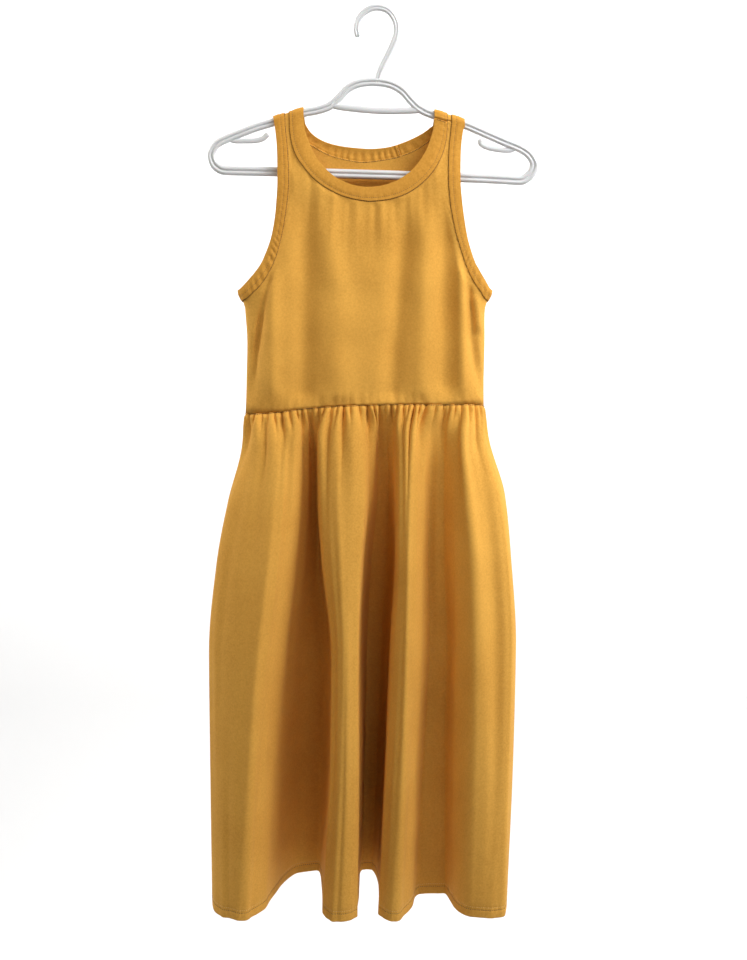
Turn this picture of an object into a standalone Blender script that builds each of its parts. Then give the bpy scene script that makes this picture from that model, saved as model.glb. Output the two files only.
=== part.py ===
"""Sleeveless jersey dress with a gathered skirt, hanging on a plain moulded hanger.

Frame: metres, +Z up, the front faces -Y, +X is to the right as seen from the front.
The origin is the inner top of the hanger's hook, where the whole thing is held.
"""
import math

import bmesh
import bpy
import numpy as np

# Driving dimensions in metres
CLOTH = 0.0012            # wall of the body and skirt panels
BAND = 0.0022             # wall of the doubled neckband and armbands
BAND_LIFT = 0.0005        # the bands' middle surface stands this far outside the panels'
BAND_CROWN = 0.0004       # how far the middle of a band bulges
RULING_BEND = 0.75        # how strongly the lines of a bodice panel leave its edges squarely
CORNER_BLENDS = 14        # how far round a corner those directions are blended
EDGE_ROW = 0.0025         # distance of the first row of corners inside an outer edge
SEAM_GAP = 0.0003         # gap between two sewn pieces

WRAP = 0.0058             # radius at which the cloth's middle surface turns over the arm
RAMP = 0.080              # drop below the arm over which the cloth takes the body's depth
SEAM_FORWARD_LEFT = -0.002
SEAM_FORWARD_RIGHT = 0.0115

SECTION_POWER = 3.0       # squareness of the flat oval section of the body
SECTION_ASPECT = 0.22     # depth over width of that oval, for spacing the columns
HALF_GIRTH = 0.1715       # cloth from the middle of the front to a side seam at the waist

HEM_Z = -1.186
FRONT_GATHERS = 32
BACK_GATHERS = 30
WAIST_ROOM = 0.00015      # extra gap at the waist, where the gathered edge leans out

ARM_ROD = 0.0046          # radius of the hanger's frame
HOOK_ROD = 0.0036
CROSSBAR_ROD = 0.0032
STRAP_HOOK_ROD = 0.0022

STRAP = 0.045             # length of the narrow strap below a shoulder seam
SEAM_STEP = 0.0012
WRAP_STEP = 0.0034
COLUMNS = {1: {"arm": 10, "side": 5, "waist": 18}, -1: {"arm": 9, "side": 5, "waist": 14}}
WAIST_CORNER = (1.0, 0.97, 0.90)
NECK_TURN = {1: 0.39, -1: 0.39}
NECK_SIDE = {1: 0.04, -1: 0.04}

# Body section down the height: height, middle, half width, front depth, back depth (mm)
BODY = (
    (-505, -16.5, 156.6, 35, 30),
    (-460, -15.9, 155.0, 33, 28),
    (-410, -14.9, 154.3, 30, 25),
    (-371, -16.0, 155.2, 27, 22),
    (-358, -16.0, 158.7, 26, 21),
    (-345, -16.0, 163.5, 25, 20),
    (-300, -16.0, 163.5, 22, 17),
    (-200, -16.0, 163.5, 17, 14),
    (-100, -16.0, 163.5, 14, 12),
)

# Middle line of the hanger's closed frame: x, z (mm)
HANGER_FRAME = (
    (-92.6, -123.4), (-113.6, -129.6), (-134.6, -135.8), (-154.1, -141.4), (-172.0, -147.9),
    (-189.9, -154.8), (-203.5, -161.3), (-209.9, -169.6), (-211.4, -177.3), (-208.5, -186.0),
    (-203.3, -191.2), (-196.1, -194.2), (-181.9, -194.9), (-128.0, -196.1), (-56.4, -198.2),
    (-6.9, -199.6), (36.5, -200.9), (108.4, -203.4), (142.7, -204.8), (164.7, -206.0),
    (183.1, -206.8), (190.4, -203.8), (196.4, -197.9), (199.9, -189.6), (198.4, -182.4),
    (192.1, -174.1), (181.0, -167.1), (162.7, -159.9), (138.1, -149.6), (113.7, -139.4),
    (92.0, -132.2), (72.0, -126.4), (61.0, -122.4), (51.0, -116.8), (41.9, -108.1),
    (31.5, -97.0), (16.6, -88.9), (-2.9, -86.0), (-22.2, -87.4), (-37.1, -93.8),
    (-49.0, -105.2), (-61.1, -115.3), (-76.1, -120.4),
)
HOOK = (
    (-25.1, -28.6), (-26.3, -21.7), (-23.9, -11.4), (-18.1, -3.4), (-9.5, 1.9), (-0.3, 3.6),
    (10.5, 1.3), (17.8, -4.6), (22.8, -13.5), (24.2, -23.1), (22.1, -34.0), (16.4, -46.5),
    (9.2, -60.4), (2.7, -73.5), (-0.5, -86.0),
)
CROSSBAR = ((-58.0, -112.5), (-50.0, -115.7), (-22.1, -119.1), (9.6, -121.2), (41.2, -120.6), (56.0, -119.5))
STRAP_HOOK_LEFT = (
    (-188.0, -154.5), (-182.8, -157.6), (-167.7, -157.9), (-154.3, -157.4), (-145.3, -154.8), (-140.6, -150.6),
)
STRAP_HOOK_RIGHT = (
    (176.0, -166.0), (168.9, -169.4), (156.8, -169.0), (142.1, -166.5), (132.6, -162.3), (131.0, -157.6),
)
# Height of the arms' middle line under the straps and beyond: x, z (mm)
ARM_LINE = (
    (-180, -151.0), (-134.6, -135.8), (-92.6, -123.4), (72.0, -126.4), (92.0, -132.2), (113.7, -139.4),
    (160, -155.0),
)

# Seams and free edges drawn on the cloth between the two shoulder ridges: x, height (mm)
NECK_SEAM_FRONT = (
    (-111.0, -139.0), (-110.4, -147.0), (-108.5, -160.0), (-104.0, -174.0), (-96.8, -186.2), (-81.8, -204.0),
    (-63.8, -217.3), (-42.9, -227.1), (-16.2, -233.0), (7.6, -232.2), (31.4, -226.3), (52.2, -214.4),
    (70.1, -196.6), (81.0, -177.0), (86.0, -160.0), (87.5, -148.0),
)
NECK_EDGE_FRONT = (
    (-92.8, -136.0), (-91.4, -146.0), (-87.8, -156.8), (-78.8, -177.4), (-66.8, -192.3), (-51.9, -204.7),
    (-31.0, -213.7), (-10.3, -216.2), (10.4, -213.3), (31.3, -204.4), (47.7, -191.0), (61.2, -171.6),
    (68.8, -151.0), (71.0, -141.0),
)
NECK_SEAM_BACK = (
    (-110.0, -138.0), (-106.0, -146.0), (-97.0, -155.0), (-83.0, -163.3), (-58.9, -175.3), (-28.6, -182.1),
    (-10.4, -182.5), (23.1, -177.5), (47.3, -169.0), (65.2, -158.0), (78.0, -149.0), (86.0, -142.0),
)
NECK_EDGE_BACK = (
    (-92.6, -132.0), (-90.4, -139.0), (-82.8, -148.9), (-67.9, -157.8), (-46.8, -163.4), (-22.5, -166.1),
    (-4.4, -166.7), (17.0, -164.1), (38.1, -157.2), (56.1, -148.7), (67.0, -141.0), (71.2, -135.0),
)
ARM_SEAM_LEFT = (
    (-116.6, -145.0), (-114.9, -160.0), (-113.3, -182.6), (-112.8, -208.6), (-113.9, -226.0), (-117.4, -250.9),
    (-122.1, -275.8), (-129.6, -302.1), (-139.6, -323.5), (-153.9, -342.5), (-168.0, -354.0),
)
ARM_EDGE_LEFT = (
    (-129.2, -145.4), (-127.0, -170.2), (-126.5, -207.4), (-128.0, -232.2), (-130.8, -257.1), (-136.2, -282.0),
    (-146.3, -307.1), (-154.3, -319.7), (-166.7, -332.9),
)
ARM_SEAM_RIGHT = (
    (93.0, -148.0), (91.4, -162.0), (90.2, -182.0), (90.2, -207.4), (91.8, -227.3), (94.6, -247.1),
    (100.0, -272.0), (107.3, -295.5), (114.8, -316.7), (126.5, -338.7), (137.5, -353.0),
)
ARM_EDGE_RIGHT = (
    (108.2, -147.0), (105.6, -170.2), (105.1, -207.4), (107.2, -232.2), (110.6, -257.1), (115.4, -282.0),
    (123.5, -307.1), (130.2, -319.7), (140.0, -333.0),
)
SHOULDER = {
    "neck_seam": (-111.2, 88.0),
    "neck_edge": (-93.4, 72.0),
    "arm_seam": (-117.8, 94.2),
    "arm_edge": (-132.3, 110.6),
}
UNDERARM_SEAM = -0.3580
UNDERARM_EDGE = -0.3445

# Height of the waist seam along the front and the back: place across (-1 to 1), z (mm)
WAIST_FRONT = (
    (-1.0, -505.8), (-0.80, -503.6), (-0.62, -500.6), (-0.48, -496.8), (-0.30, -494.0), (0.0, -491.6),
    (0.30, -490.6), (0.62, -491.4), (0.80, -491.8), (0.90, -493.6), (1.0, -499.2),
)
WAIST_BACK = ((-1.0, -505.8), (-0.5, -500.0), (0.0, -497.0), (0.5, -497.0), (1.0, -499.2))

# Creases in the bodice: side, from x z, to x z, half width, rise out of the cloth (mm)
CREASES = (
    ("front", -147, -300, -157, -352, 7, -2.5),
    ("front", -157, -352, -163, -398, 7, -5.0),
    ("front", -139, -330, -139, -490, 13, 2.5),
    ("front", -90, -205, -97, -490, 15, -3.5),
    ("front", -72, -215, -53, -340, 16, 2.5),
    ("front", -53, -340, -50, -490, 20, 2.5),
    ("front", 36, -235, 14, -490, 13, -3.5),
    ("front", 60, -240, 57, -490, 14, 2.5),
    ("front", 88, -260, 92, -490, 10, -2.8),
    ("front", 104, -300, 110, -490, 8, 3.0),
    ("front", 124, -352, 131, -398, 7, 4.0),
    ("front", 131, -398, 133, -470, 7, 2.5),
    ("back", -90, -240, -84, -480, 20, 4.0),
    ("back", -30, -230, -22, -480, 22, -3.0),
    ("back", 50, -240, 54, -480, 22, 4.0),
)

# Folds of the skirt: heights of the columns (mm), then for each line down the cloth
# its place across the panel (0 to 1) and x, y at each of those heights (mm)
FOLD_HEIGHTS = (-535, -615, -700, -820, -960, -1186)
FRONT_FOLDS = (
    ("left seam", 0.000, (-176, 0), (-198, 0), (-215, 0), (-226, 0), (-227, 0), (-229, 4)),
    ("lobe 1 side", 0.035, (-175, -14), (-197, -19), (-214, -23), (-226, -26), (-227, -27), (-229, -27)),
    ("lobe 1 turn", 0.058, (-170, -26), (-193, -36), (-210, -43), (-222, -48), (-223, -52), (-223, -54)),
    ("lobe 1 ridge", 0.085, (-161, -37), (-184, -50), (-201, -58), (-212, -65), (-213, -69), (-211, -71)),
    ("lobe 1 crest", 0.150, (-133, -46), (-131, -58), (-134, -66), (-151, -72), (-162, -75), (-181, -70)),
    ("lobe 1 flank", 0.215, (-112, -40), (-112, -45), (-118, -46), (-131, -45), (-143, -40), (-161, -38)),
    ("hollow 1 slope", 0.255, (-98, -28), (-100, -22), (-107, -14), (-120, -6), (-131, 0), (-142, 2)),
    ("hollow 1 left", 0.282, (-91, -20), (-93, -4), (-98, 10), (-108, 24), (-116, 36), (-122, 41)),
    ("hollow 1 right", 0.305, (-83, -18), (-84, 0), (-84, 18), (-80, 34), (-82, 45), (-88, 50)),
    ("lobe 2 back", 0.325, (-77, -26), (-77, -12), (-74, 4), (-63, 12), (-65, 16), (-77, 16)),
    ("lobe 2 left", 0.352, (-74, -40), (-75, -46), (-70, -50), (-59, -52), (-61, -54), (-73, -53)),
    ("lobe 2 crest", 0.425, (-44, -48), (-43, -60), (-41, -68), (-38, -73), (-39, -77), (-46, -80)),
    ("lobe 2 right", 0.477, (-20, -46), (-15, -56), (-20, -60), (-24, -62), (-24, -64), (-27, -63)),
    ("lobe 2 flank", 0.510, (-9, -34), (-10, -28), (-17, -20), (-22, -12), (-22, -6), (-27, -2)),
    ("hollow 2 left", 0.552, (1, -21), (1, -4), (-6, 14), (-13, 32), (-16, 45), (-22, 53)),
    ("hollow 2 right", 0.582, (12, -19), (14, -2), (12, 14), (7, 34), (2, 47), (-8, 53)),
    ("lobe 3 back", 0.605, (20, -26), (22, -14), (23, -2), (17, 8), (12, 13), (3, 13)),
    ("lobe 3 left", 0.630, (26, -40), (26, -46), (26, -50), (20, -52), (14, -53), (5, -54)),
    ("lobe 3 crest", 0.692, (43, -47), (48, -59), (50, -67), (51, -73), (46, -76), (30, -77)),
    ("lobe 3 flank", 0.745, (62, -38), (66, -46), (68, -48), (73, -48), (67, -47), (54, -42)),
    ("hollow 3 left", 0.785, (79, -29), (78, -27), (77, -24), (83, -20), (77, -16), (66, -14)),
    ("hollow 3 right", 0.820, (92, -29), (92, -27), (92, -24), (100, -19), (95, -14), (90, -10)),
    ("lobe 4 flank", 0.850, (102, -38), (106, -42), (117, -46), (125, -46), (124, -43), (112, -42)),
    ("lobe 4 ridge", 0.875, (110, -45), (119, -55), (138, -63), (146, -68), (148, -72), (137, -71)),
    ("lobe 4 dip", 0.912, (123, -37), (141, -46), (156, -57), (165, -63), (166, -67), (161, -71)),
    ("lobe 4 turn", 0.945, (135, -29), (159, -38), (172, -44), (180, -48), (179, -50), (176, -49)),
    ("lobe 4 side", 0.970, (144, -14), (168, -18), (178, -21), (186, -24), (185, -25), (180, -23)),
    ("right seam", 1.000, (146, 0), (170, 0), (179, 0), (187, 0), (186, 0), (181, 4)),
)
BACK_FOLDS = (
    ("left seam", 0.000, (-176, 0), (-198, 0), (-215, 0), (-226, 0), (-227, 0), (-229, 4)),
    ("fold 1 side", 0.035, (-174, 16), (-197, 18), (-214, 22), (-225, 25), (-226, 28), (-228, 32)),
    ("fold 1", 0.085, (-159, 34), (-182, 43), (-200, 51), (-212, 57), (-214, 61), (-215, 65)),
    ("hollow 1", 0.170, (-126, 26), (-138, 26), (-152, 29), (-166, 33), (-170, 36), (-172, 38)),
    ("fold 2", 0.280, (-92, 45), (-96, 58), (-100, 70), (-103, 80), (-106, 88), (-108, 95)),
    ("hollow 2", 0.395, (-50, 27), (-51, 27), (-52, 29), (-52, 32), (-52, 35), (-53, 37)),
    ("fold 3", 0.500, (-14, 46), (-14, 60), (-13, 73), (-12, 84), (-12, 92), (-13, 99)),
    ("hollow 3", 0.605, (20, 27), (24, 27), (28, 29), (31, 32), (32, 35), (32, 37)),
    ("fold 4", 0.720, (58, 45), (66, 57), (73, 69), (79, 79), (80, 86), (79, 92)),
    ("hollow 4", 0.835, (96, 26), (106, 26), (116, 28), (124, 31), (126, 34), (125, 36)),
    ("fold 5", 0.920, (130, 33), (153, 43), (163, 51), (171, 56), (170, 60), (167, 63)),
    ("fold 5 side", 0.965, (144, 16), (168, 18), (178, 22), (186, 25), (185, 28), (180, 31)),
    ("right seam", 1.000, (146, 0), (170, 0), (179, 0), (187, 0), (186, 0), (181, 4)),
)
# Height of the small gathers below the waist seam: drop, height (mm)
GATHER_SWELL = ((0, 1.1), (10, 2.6), (22, 3.0), (45, 2.3), (75, 1.0), (110, 0.0))
BODICE_ROWS = (0.0, 0.10, 0.28, 0.48, 0.68, 0.85, 0.94, 0.98, 1.0)
SKIRT_ROWS = (0.0, 0.014, 0.033, 0.063, 0.108, 0.175, 0.28, 0.42, 0.59, 0.79, 1.0)


def glide(x, xs, ys):
    """Read a short table at x with a smooth curve that never overshoots its rows."""
    xs = np.asarray(xs, float)
    ys = np.asarray(ys, float)
    step = np.diff(xs)
    rise = np.diff(ys, axis=0) / step.reshape((-1,) + (1,) * (ys.ndim - 1))
    slope = np.zeros_like(ys)
    slope[0] = rise[0]
    slope[-1] = rise[-1]
    for k in range(1, len(xs) - 1):
        same = rise[k - 1] * rise[k] > 0
        wide = 2 * step[k] + step[k - 1]
        near = step[k] + 2 * step[k - 1]
        first = np.where(same, rise[k - 1], 1.0)
        second = np.where(same, rise[k], 1.0)
        slope[k] = np.where(same, (wide + near) / (wide / first + near / second), 0.0)
    x = np.asarray(x, float)
    k = np.clip(np.searchsorted(xs, x, side="right") - 1, 0, len(xs) - 2)
    shape = x.shape + (1,) * (ys.ndim - 1)
    t = np.clip((x - xs[k]) / step[k], 0.0, 1.0).reshape(shape)
    span = step[k].reshape(shape)
    held = ys[k] * (1 + 2 * t) * (1 - t) ** 2 + ys[k + 1] * t * t * (3 - 2 * t)
    return held + span * (slope[k] * t * (1 - t) ** 2 - slope[k + 1] * t * t * (1 - t))


def smooth(t):
    """Ease from 0 to 1."""
    t = np.clip(t, 0.0, 1.0)
    return t * t * (3 - 2 * t)


def oval_tables():
    """Return place across (0 to 1), width and depth of a quarter of the body's section."""
    angle = np.linspace(0.0, math.pi / 2, 400)
    width = np.sin(angle) ** (2 / SECTION_POWER)
    depth = np.cos(angle) ** (2 / SECTION_POWER)
    run = np.hypot(np.diff(width), SECTION_ASPECT * np.diff(depth))
    place = np.concatenate([[0.0], np.cumsum(run)])
    return place / place[-1], width, depth


PLACE, WIDTH, DEPTH = oval_tables()
BODY_Z = np.array([row[0] for row in BODY]) / 1000
BODY_SIZE = np.array([row[1:] for row in BODY]) / 1000


def arm_height(x):
    """Height of the hanger arm's middle line at x."""
    line = np.array(ARM_LINE) / 1000
    return np.interp(x, line[:, 0], line[:, 1])


def drape(place, height, side):
    """Lay cloth on the body: place across (-1 to 1), height on the flat cloth, side 1 front."""
    size = glide(height, BODY_Z, BODY_SIZE)
    across = np.interp(np.abs(place), PLACE, WIDTH) * np.sign(place)
    x = size[..., 0] + size[..., 1] * across
    deep = np.where(side > 0, size[..., 2], size[..., 3]) * np.interp(np.abs(place), PLACE, DEPTH)
    arm = arm_height(x)
    over = height - arm
    hang = WRAP + (deep - WRAP) * smooth(-over / RAMP)
    turn = np.clip(over / WRAP, 0.0, math.pi)
    past = np.maximum(over - WRAP * math.pi, 0.0)
    y = np.where(over > 0, WRAP * np.cos(turn), hang)
    z = np.where(over > 0, arm + WRAP * np.sin(turn) - past, height)
    return np.stack([x, -side * y, z], axis=-1)


def to_place(x, height):
    """Place across (-1 to 1) of a point seen at x on the cloth."""
    size = glide(height, BODY_Z, BODY_SIZE)
    across = (x - size[..., 0]) / size[..., 1]
    return np.sign(across) * np.interp(np.abs(across), WIDTH, PLACE)


def ridge(x, forward=0.0):
    """Height on the flat cloth of the shoulder ridge over the arm at x."""
    return arm_height(x) + WRAP * math.pi / 2 - forward


def drawn(rows):
    """Turn rows of x and height in mm into points on the flat cloth."""
    rows = np.array(rows) / 1000
    return np.stack([to_place(rows[:, 0], rows[:, 1]) * HALF_GIRTH, rows[:, 1]], axis=-1)


def shoulder_point(x, forward):
    """Point on the flat cloth of the shoulder seam at x."""
    x = x / 1000
    height = ridge(x, forward)
    return np.array([[float(to_place(np.array(x), np.array(height))) * HALF_GIRTH, height]])


def curve(points, closed=False, steps=12):
    """Fine smooth polyline through points."""
    points = np.asarray(points, float)
    if closed:
        padded = np.concatenate([points[-1:], points, points[:2]])
    else:
        padded = np.concatenate([2 * points[:1] - points[1:2], points, 2 * points[-1:] - points[-2:-1]])
    out = []
    for k in range(1, len(padded) - 2):
        p0, p1, p2, p3 = padded[k - 1:k + 3]
        for s in range(steps):
            t = s / steps
            out.append(0.5 * (2 * p1 + (p2 - p0) * t + (2 * p0 - 5 * p1 + 4 * p2 - p3) * t * t
                              + (3 * p1 - p0 - 3 * p2 + p3) * t ** 3))
    if not closed:
        out.append(points[-1])
    return np.array(out)


def length(line):
    """Distance along a polyline at each of its points."""
    return np.concatenate([[0.0], np.cumsum(np.linalg.norm(np.diff(line, axis=0), axis=1))])


def along(line, distance):
    """Points of a polyline at given distances along it."""
    run = length(line)
    return np.stack([np.interp(distance, run, line[:, k]) for k in range(line.shape[1])], axis=-1)


def start_steps(left, side):
    """Distances from a shoulder seam down over the arm and along the strap."""
    forward = SEAM_FORWARD_LEFT if left else SEAM_FORWARD_RIGHT
    turn = WRAP * math.pi / 2 - side * forward
    steps = [0.0, SEAM_STEP]
    if turn > 2 * SEAM_STEP:
        count = math.ceil((turn - SEAM_STEP) / WRAP_STEP)
        steps += list(np.linspace(SEAM_STEP, turn, count + 1)[1:])
    return np.array(steps + list(np.linspace(steps[-1], STRAP, 4)[1:]))


def neck_line(kind, side):
    """Neck seam or free neck edge from the left shoulder to the right one."""
    rows = {
        ("seam", 1): NECK_SEAM_FRONT, ("edge", 1): NECK_EDGE_FRONT,
        ("seam", -1): NECK_SEAM_BACK, ("edge", -1): NECK_EDGE_BACK,
    }[(kind, side)]
    left, right = SHOULDER["neck_" + kind]
    start = shoulder_point(left, side * SEAM_FORWARD_LEFT)
    end = shoulder_point(right, side * SEAM_FORWARD_RIGHT)
    rows = drawn(rows)
    rows = rows[(rows[:, 0] > 0) | (rows[:, 1] < start[0, 1] - 0.004)]
    rows = rows[(rows[:, 0] < 0) | (rows[:, 1] < end[0, 1] - 0.004)]
    return curve(np.concatenate([start, rows, end]))


def arm_line(kind, left, side):
    """Armhole seam or free edge from the shoulder down to the side seam."""
    rows = {
        ("seam", True): ARM_SEAM_LEFT, ("edge", True): ARM_EDGE_LEFT,
        ("seam", False): ARM_SEAM_RIGHT, ("edge", False): ARM_EDGE_RIGHT,
    }[(kind, left)]
    x = SHOULDER["arm_" + kind][0 if left else 1]
    forward = SEAM_FORWARD_LEFT if left else SEAM_FORWARD_RIGHT
    start = shoulder_point(x, side * forward)
    low = UNDERARM_SEAM if kind == "seam" else UNDERARM_EDGE
    end = np.array([[(-1 if left else 1) * HALF_GIRTH, low]])
    return curve(np.concatenate([start, drawn(rows), end]))


def arm_steps(line, left, side):
    """Distances along an armhole line at which the panel and its band share their corners."""
    first = start_steps(left, side)
    total = length(line)[-1]
    rest = np.linspace(0, 1, COLUMNS[side]["arm"] + 1)[1:]
    return np.concatenate([first, total - (total - first[-1]) * (1 - rest) ** 1.3])


def neck_steps(line, side):
    """Distances along a neck line at which the panel and its band share their corners."""
    total = length(line)[-1]
    turn = NECK_TURN[side] * total
    corner = turn + NECK_SIDE[side] * total
    size = COLUMNS[side]
    first = start_steps(True, side)
    last = start_steps(False, side)
    near = np.concatenate([first, np.linspace(first[-1], turn, size["arm"] + 1)[1:],
                           np.linspace(turn, corner, size["side"] + 1)[1:]])
    far = np.concatenate([last, np.linspace(last[-1], turn, size["arm"] + 1)[1:],
                          np.linspace(turn, corner, size["side"] + 1)[1:]])
    middle = np.linspace(corner, total - corner, size["waist"] + 1)[1:-1]
    return np.concatenate([near, middle, total - far[::-1]])


def waist_places(side):
    """Places across the waist at which a bodice panel has its corners."""
    inner = np.linspace(-WAIST_CORNER[-1], WAIST_CORNER[-1], COLUMNS[side]["waist"] - 2 * len(WAIST_CORNER) + 3)
    near = np.array(WAIST_CORNER[:-1])
    return np.concatenate([-near, inner, near[::-1]])


def waist_height(place, side):
    """Height of the waist seam, straight between the corners of the bodice panel."""
    rows = np.array(WAIST_FRONT if side > 0 else WAIST_BACK)
    corners = waist_places(side)
    return np.interp(place, corners, glide(corners, rows[:, 0], rows[:, 1] / 1000))


def crease_lift(x, z, side):
    """Rise of the bodice's creases at x, z."""
    total = np.zeros_like(x)
    for where, x0, z0, x1, z1, half, rise in CREASES:
        if (where == "front") != (side > 0):
            continue
        axis = np.array([x1 - x0, z1 - z0]) / 1000
        span = np.linalg.norm(axis)
        axis = axis / span
        dx = x - x0 / 1000
        dz = z - z0 / 1000
        run = (dx * axis[0] + dz * axis[1]) / span
        off = dx * axis[1] - dz * axis[0]
        fade = smooth(run / 0.25 + 0.5) * smooth((1 - run) / 0.25 + 0.5)
        total += rise / 1000 * np.exp(-(off * 1000 / half) ** 2) * fade
    return total


def bodice_points(side, rows):
    """Grid of points of a bodice panel, from the neck seam to its outer edges."""
    neck = neck_line("seam", side)
    left = arm_line("seam", True, side)
    right = arm_line("seam", False, side)
    size = COLUMNS[side]
    steps = np.linspace(0, 1, size["side"] + 1)[1:]
    low = float(waist_height(np.array(-1.0), side))
    high = float(waist_height(np.array(1.0), side))
    place = waist_places(side)
    outer = np.concatenate([
        along(left, arm_steps(left, True, side)),
        np.stack([np.full_like(steps, -HALF_GIRTH), UNDERARM_SEAM + (low - UNDERARM_SEAM) * steps], axis=-1),
        np.stack([place * HALF_GIRTH, waist_height(place, side)], axis=-1)[1:-1],
        np.stack([np.full_like(steps, HALF_GIRTH), UNDERARM_SEAM + (high - UNDERARM_SEAM) * steps], axis=-1)[::-1],
        along(right, arm_steps(right, False, side))[::-1],
    ])
    inner = along(neck, neck_steps(neck, side))
    rows = np.array(rows)
    straps = (len(start_steps(True, side)), len(start_steps(False, side)))
    flat = fill_panel(inner, outer, rows, straps)
    points = drape(flat[..., 0] / HALF_GIRTH, flat[..., 1], side)
    calm = smooth((-flat[..., 1] - 0.19) / 0.10) * smooth((HALF_GIRTH - np.abs(flat[..., 0])) / 0.012)
    edge = np.minimum(rows, 1 - rows)[None, :] * np.linalg.norm(outer - inner, axis=1)[:, None]
    calm = calm * smooth(edge / 0.03)
    points[..., 1] -= side * calm * crease_lift(points[..., 0], points[..., 2], side)
    return points


def left_of(edge, blends=0):
    """Unit vectors to the left of an edge on the flat cloth, blended round its corners."""
    tangent = np.gradient(edge, axis=0)
    normal = np.stack([-tangent[:, 1], tangent[:, 0]], axis=1)
    normal /= np.linalg.norm(normal, axis=1, keepdims=True)
    for _ in range(blends):
        normal[1:-1] = (normal[:-2] + 2 * normal[1:-1] + normal[2:]) / 4
    return normal / np.linalg.norm(normal, axis=1, keepdims=True)


def fill_panel(inner, outer, rows, straps, fine=36, split=4, rounds=2200):
    """Lay a grid on the flat cloth between the neck seam and the outer edges of a panel."""
    spots = np.arange((len(inner) - 1) * split + 1) / split
    inner_fine = np.stack([np.interp(spots, np.arange(len(inner)), inner[:, k]) for k in (0, 1)], axis=-1)
    outer_fine = np.stack([np.interp(spots, np.arange(len(outer)), outer[:, k]) for k in (0, 1)], axis=-1)
    reach = np.linalg.norm(outer_fine - inner_fine, axis=1, keepdims=True)
    leave = (-left_of(inner_fine) * reach * RULING_BEND)[:, None, :]
    arrive = (-left_of(outer_fine, CORNER_BLENDS * split * 2) * reach * RULING_BEND)[:, None, :]
    t = np.linspace(0, 1, fine + 1)[None, :, None]
    flat = (inner_fine[:, None, :] * (1 + 2 * t) * (1 - t) ** 2 + outer_fine[:, None, :] * t * t * (3 - 2 * t)
            + leave * t * (1 - t) ** 2 - arrive * t * t * (1 - t))
    # Even the grid out until none of its lines cross
    for _ in range(rounds):
        du = (flat[2:, 1:-1] - flat[:-2, 1:-1]) / 2
        dv = (flat[1:-1, 2:] - flat[1:-1, :-2]) / 2
        a = np.sum(dv * dv, axis=-1, keepdims=True)
        b = np.sum(du * dv, axis=-1, keepdims=True)
        c = np.sum(du * du, axis=-1, keepdims=True)
        cross = flat[2:, 2:] - flat[:-2, 2:] - flat[2:, :-2] + flat[:-2, :-2]
        target = (a * (flat[2:, 1:-1] + flat[:-2, 1:-1]) + c * (flat[1:-1, 2:] + flat[1:-1, :-2])
                  - b * cross / 2) / (2 * (a + c) + 1e-15)
        flat[1:-1, 1:-1] += 0.6 * (target - flat[1:-1, 1:-1])
    flat = flat[::split]
    reach = np.linalg.norm(outer - inner, axis=1, keepdims=True)
    even = np.linspace(0, 1, len(rows))
    wide = smooth(reach[:, 0] / 0.13)
    laid = np.stack([
        along(line, length(line)[-1] * (even * (1 - part) + rows * part)) for line, part in zip(flat, wide)
    ])
    # Keep a row close inside the outer edges, so the cloth meets its seams squarely
    apart = laid[:, None, -4] - outer_fine[None, :]
    room = np.min(np.linalg.norm(apart, axis=2), axis=1)[:, None]
    inward = left_of(outer, 2)
    laid[:, -2] = outer + inward * np.minimum(EDGE_ROW, 0.30 * room)
    laid[:, -3] = laid[:, -2] * 0.65 + laid[:, -4] * 0.35
    # Run straight across the straps
    spot = np.arange(len(inner))
    within = np.maximum(straps[0] - 1 - spot, spot - len(inner) + straps[1])
    hold = smooth((within + 3) / 3)[:, None, None]
    even = even[None, :, None]
    laid = laid * (1 - hold) + (inner[:, None] * (1 - even) + outer[:, None] * even) * hold
    movable = np.ones(laid.shape[:2], bool)
    movable[[0, -1]] = False
    movable[:, [0, -1, -2]] = False
    return unfold(laid, movable)


def unfold(flat, movable):
    """Ease the corners of a flat grid until no cell of it is folded over."""
    for _ in range(400):
        near = np.zeros(flat.shape[:2], bool)
        down = flat[:, 1:] - flat[:, :-1]
        over = flat[1:] - flat[:-1]
        for i in (0, 1):
            for j in (0, 1):
                u = over[:, j:flat.shape[1] - 1 + j]
                v = down[i:flat.shape[0] - 1 + i]
                turn = u[..., 0] * v[..., 1] - u[..., 1] * v[..., 0]
                sine = turn / (np.linalg.norm(u, axis=-1) * np.linalg.norm(v, axis=-1))
                bad = sine * np.sign(np.sum(turn)) < 0.02
                for di in (0, 1):
                    for dj in (0, 1):
                        near[di:flat.shape[0] - 1 + di, dj:flat.shape[1] - 1 + dj] |= bad
        near &= movable
        if not near.any():
            break
        mean = flat.copy()
        mean[1:-1, 1:-1] = (flat[2:, 1:-1] + flat[:-2, 1:-1]) / 4 + flat[1:-1, :-2] / 2
        flat = np.where(near[..., None], flat * 0.7 + mean * 0.3, flat)
    return flat


def pull_in(points, amount, edges):
    """Move the boundary rows of a grid of points inwards along the cloth."""
    moved = points.copy()
    for edge in edges:
        if edge == "u0":
            row, inner = points[0], points[1]
        elif edge == "u1":
            row, inner = points[-1], points[-2]
        elif edge == "v0":
            row, inner = points[:, 0], points[:, 1]
        else:
            row, inner = points[:, -1], points[:, -2]
        tangent = np.gradient(row, axis=0)
        tangent /= np.linalg.norm(tangent, axis=-1, keepdims=True)
        inward = inner - row
        inward = inward - tangent * np.sum(inward * tangent, axis=-1, keepdims=True)
        inward /= np.linalg.norm(inward, axis=-1, keepdims=True)
        shift = inward * amount
        if edge == "u0":
            moved[0] += shift
        elif edge == "u1":
            moved[-1] += shift
        elif edge == "v0":
            moved[:, 0] += shift
        else:
            moved[:, -1] += shift
    return moved


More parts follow.
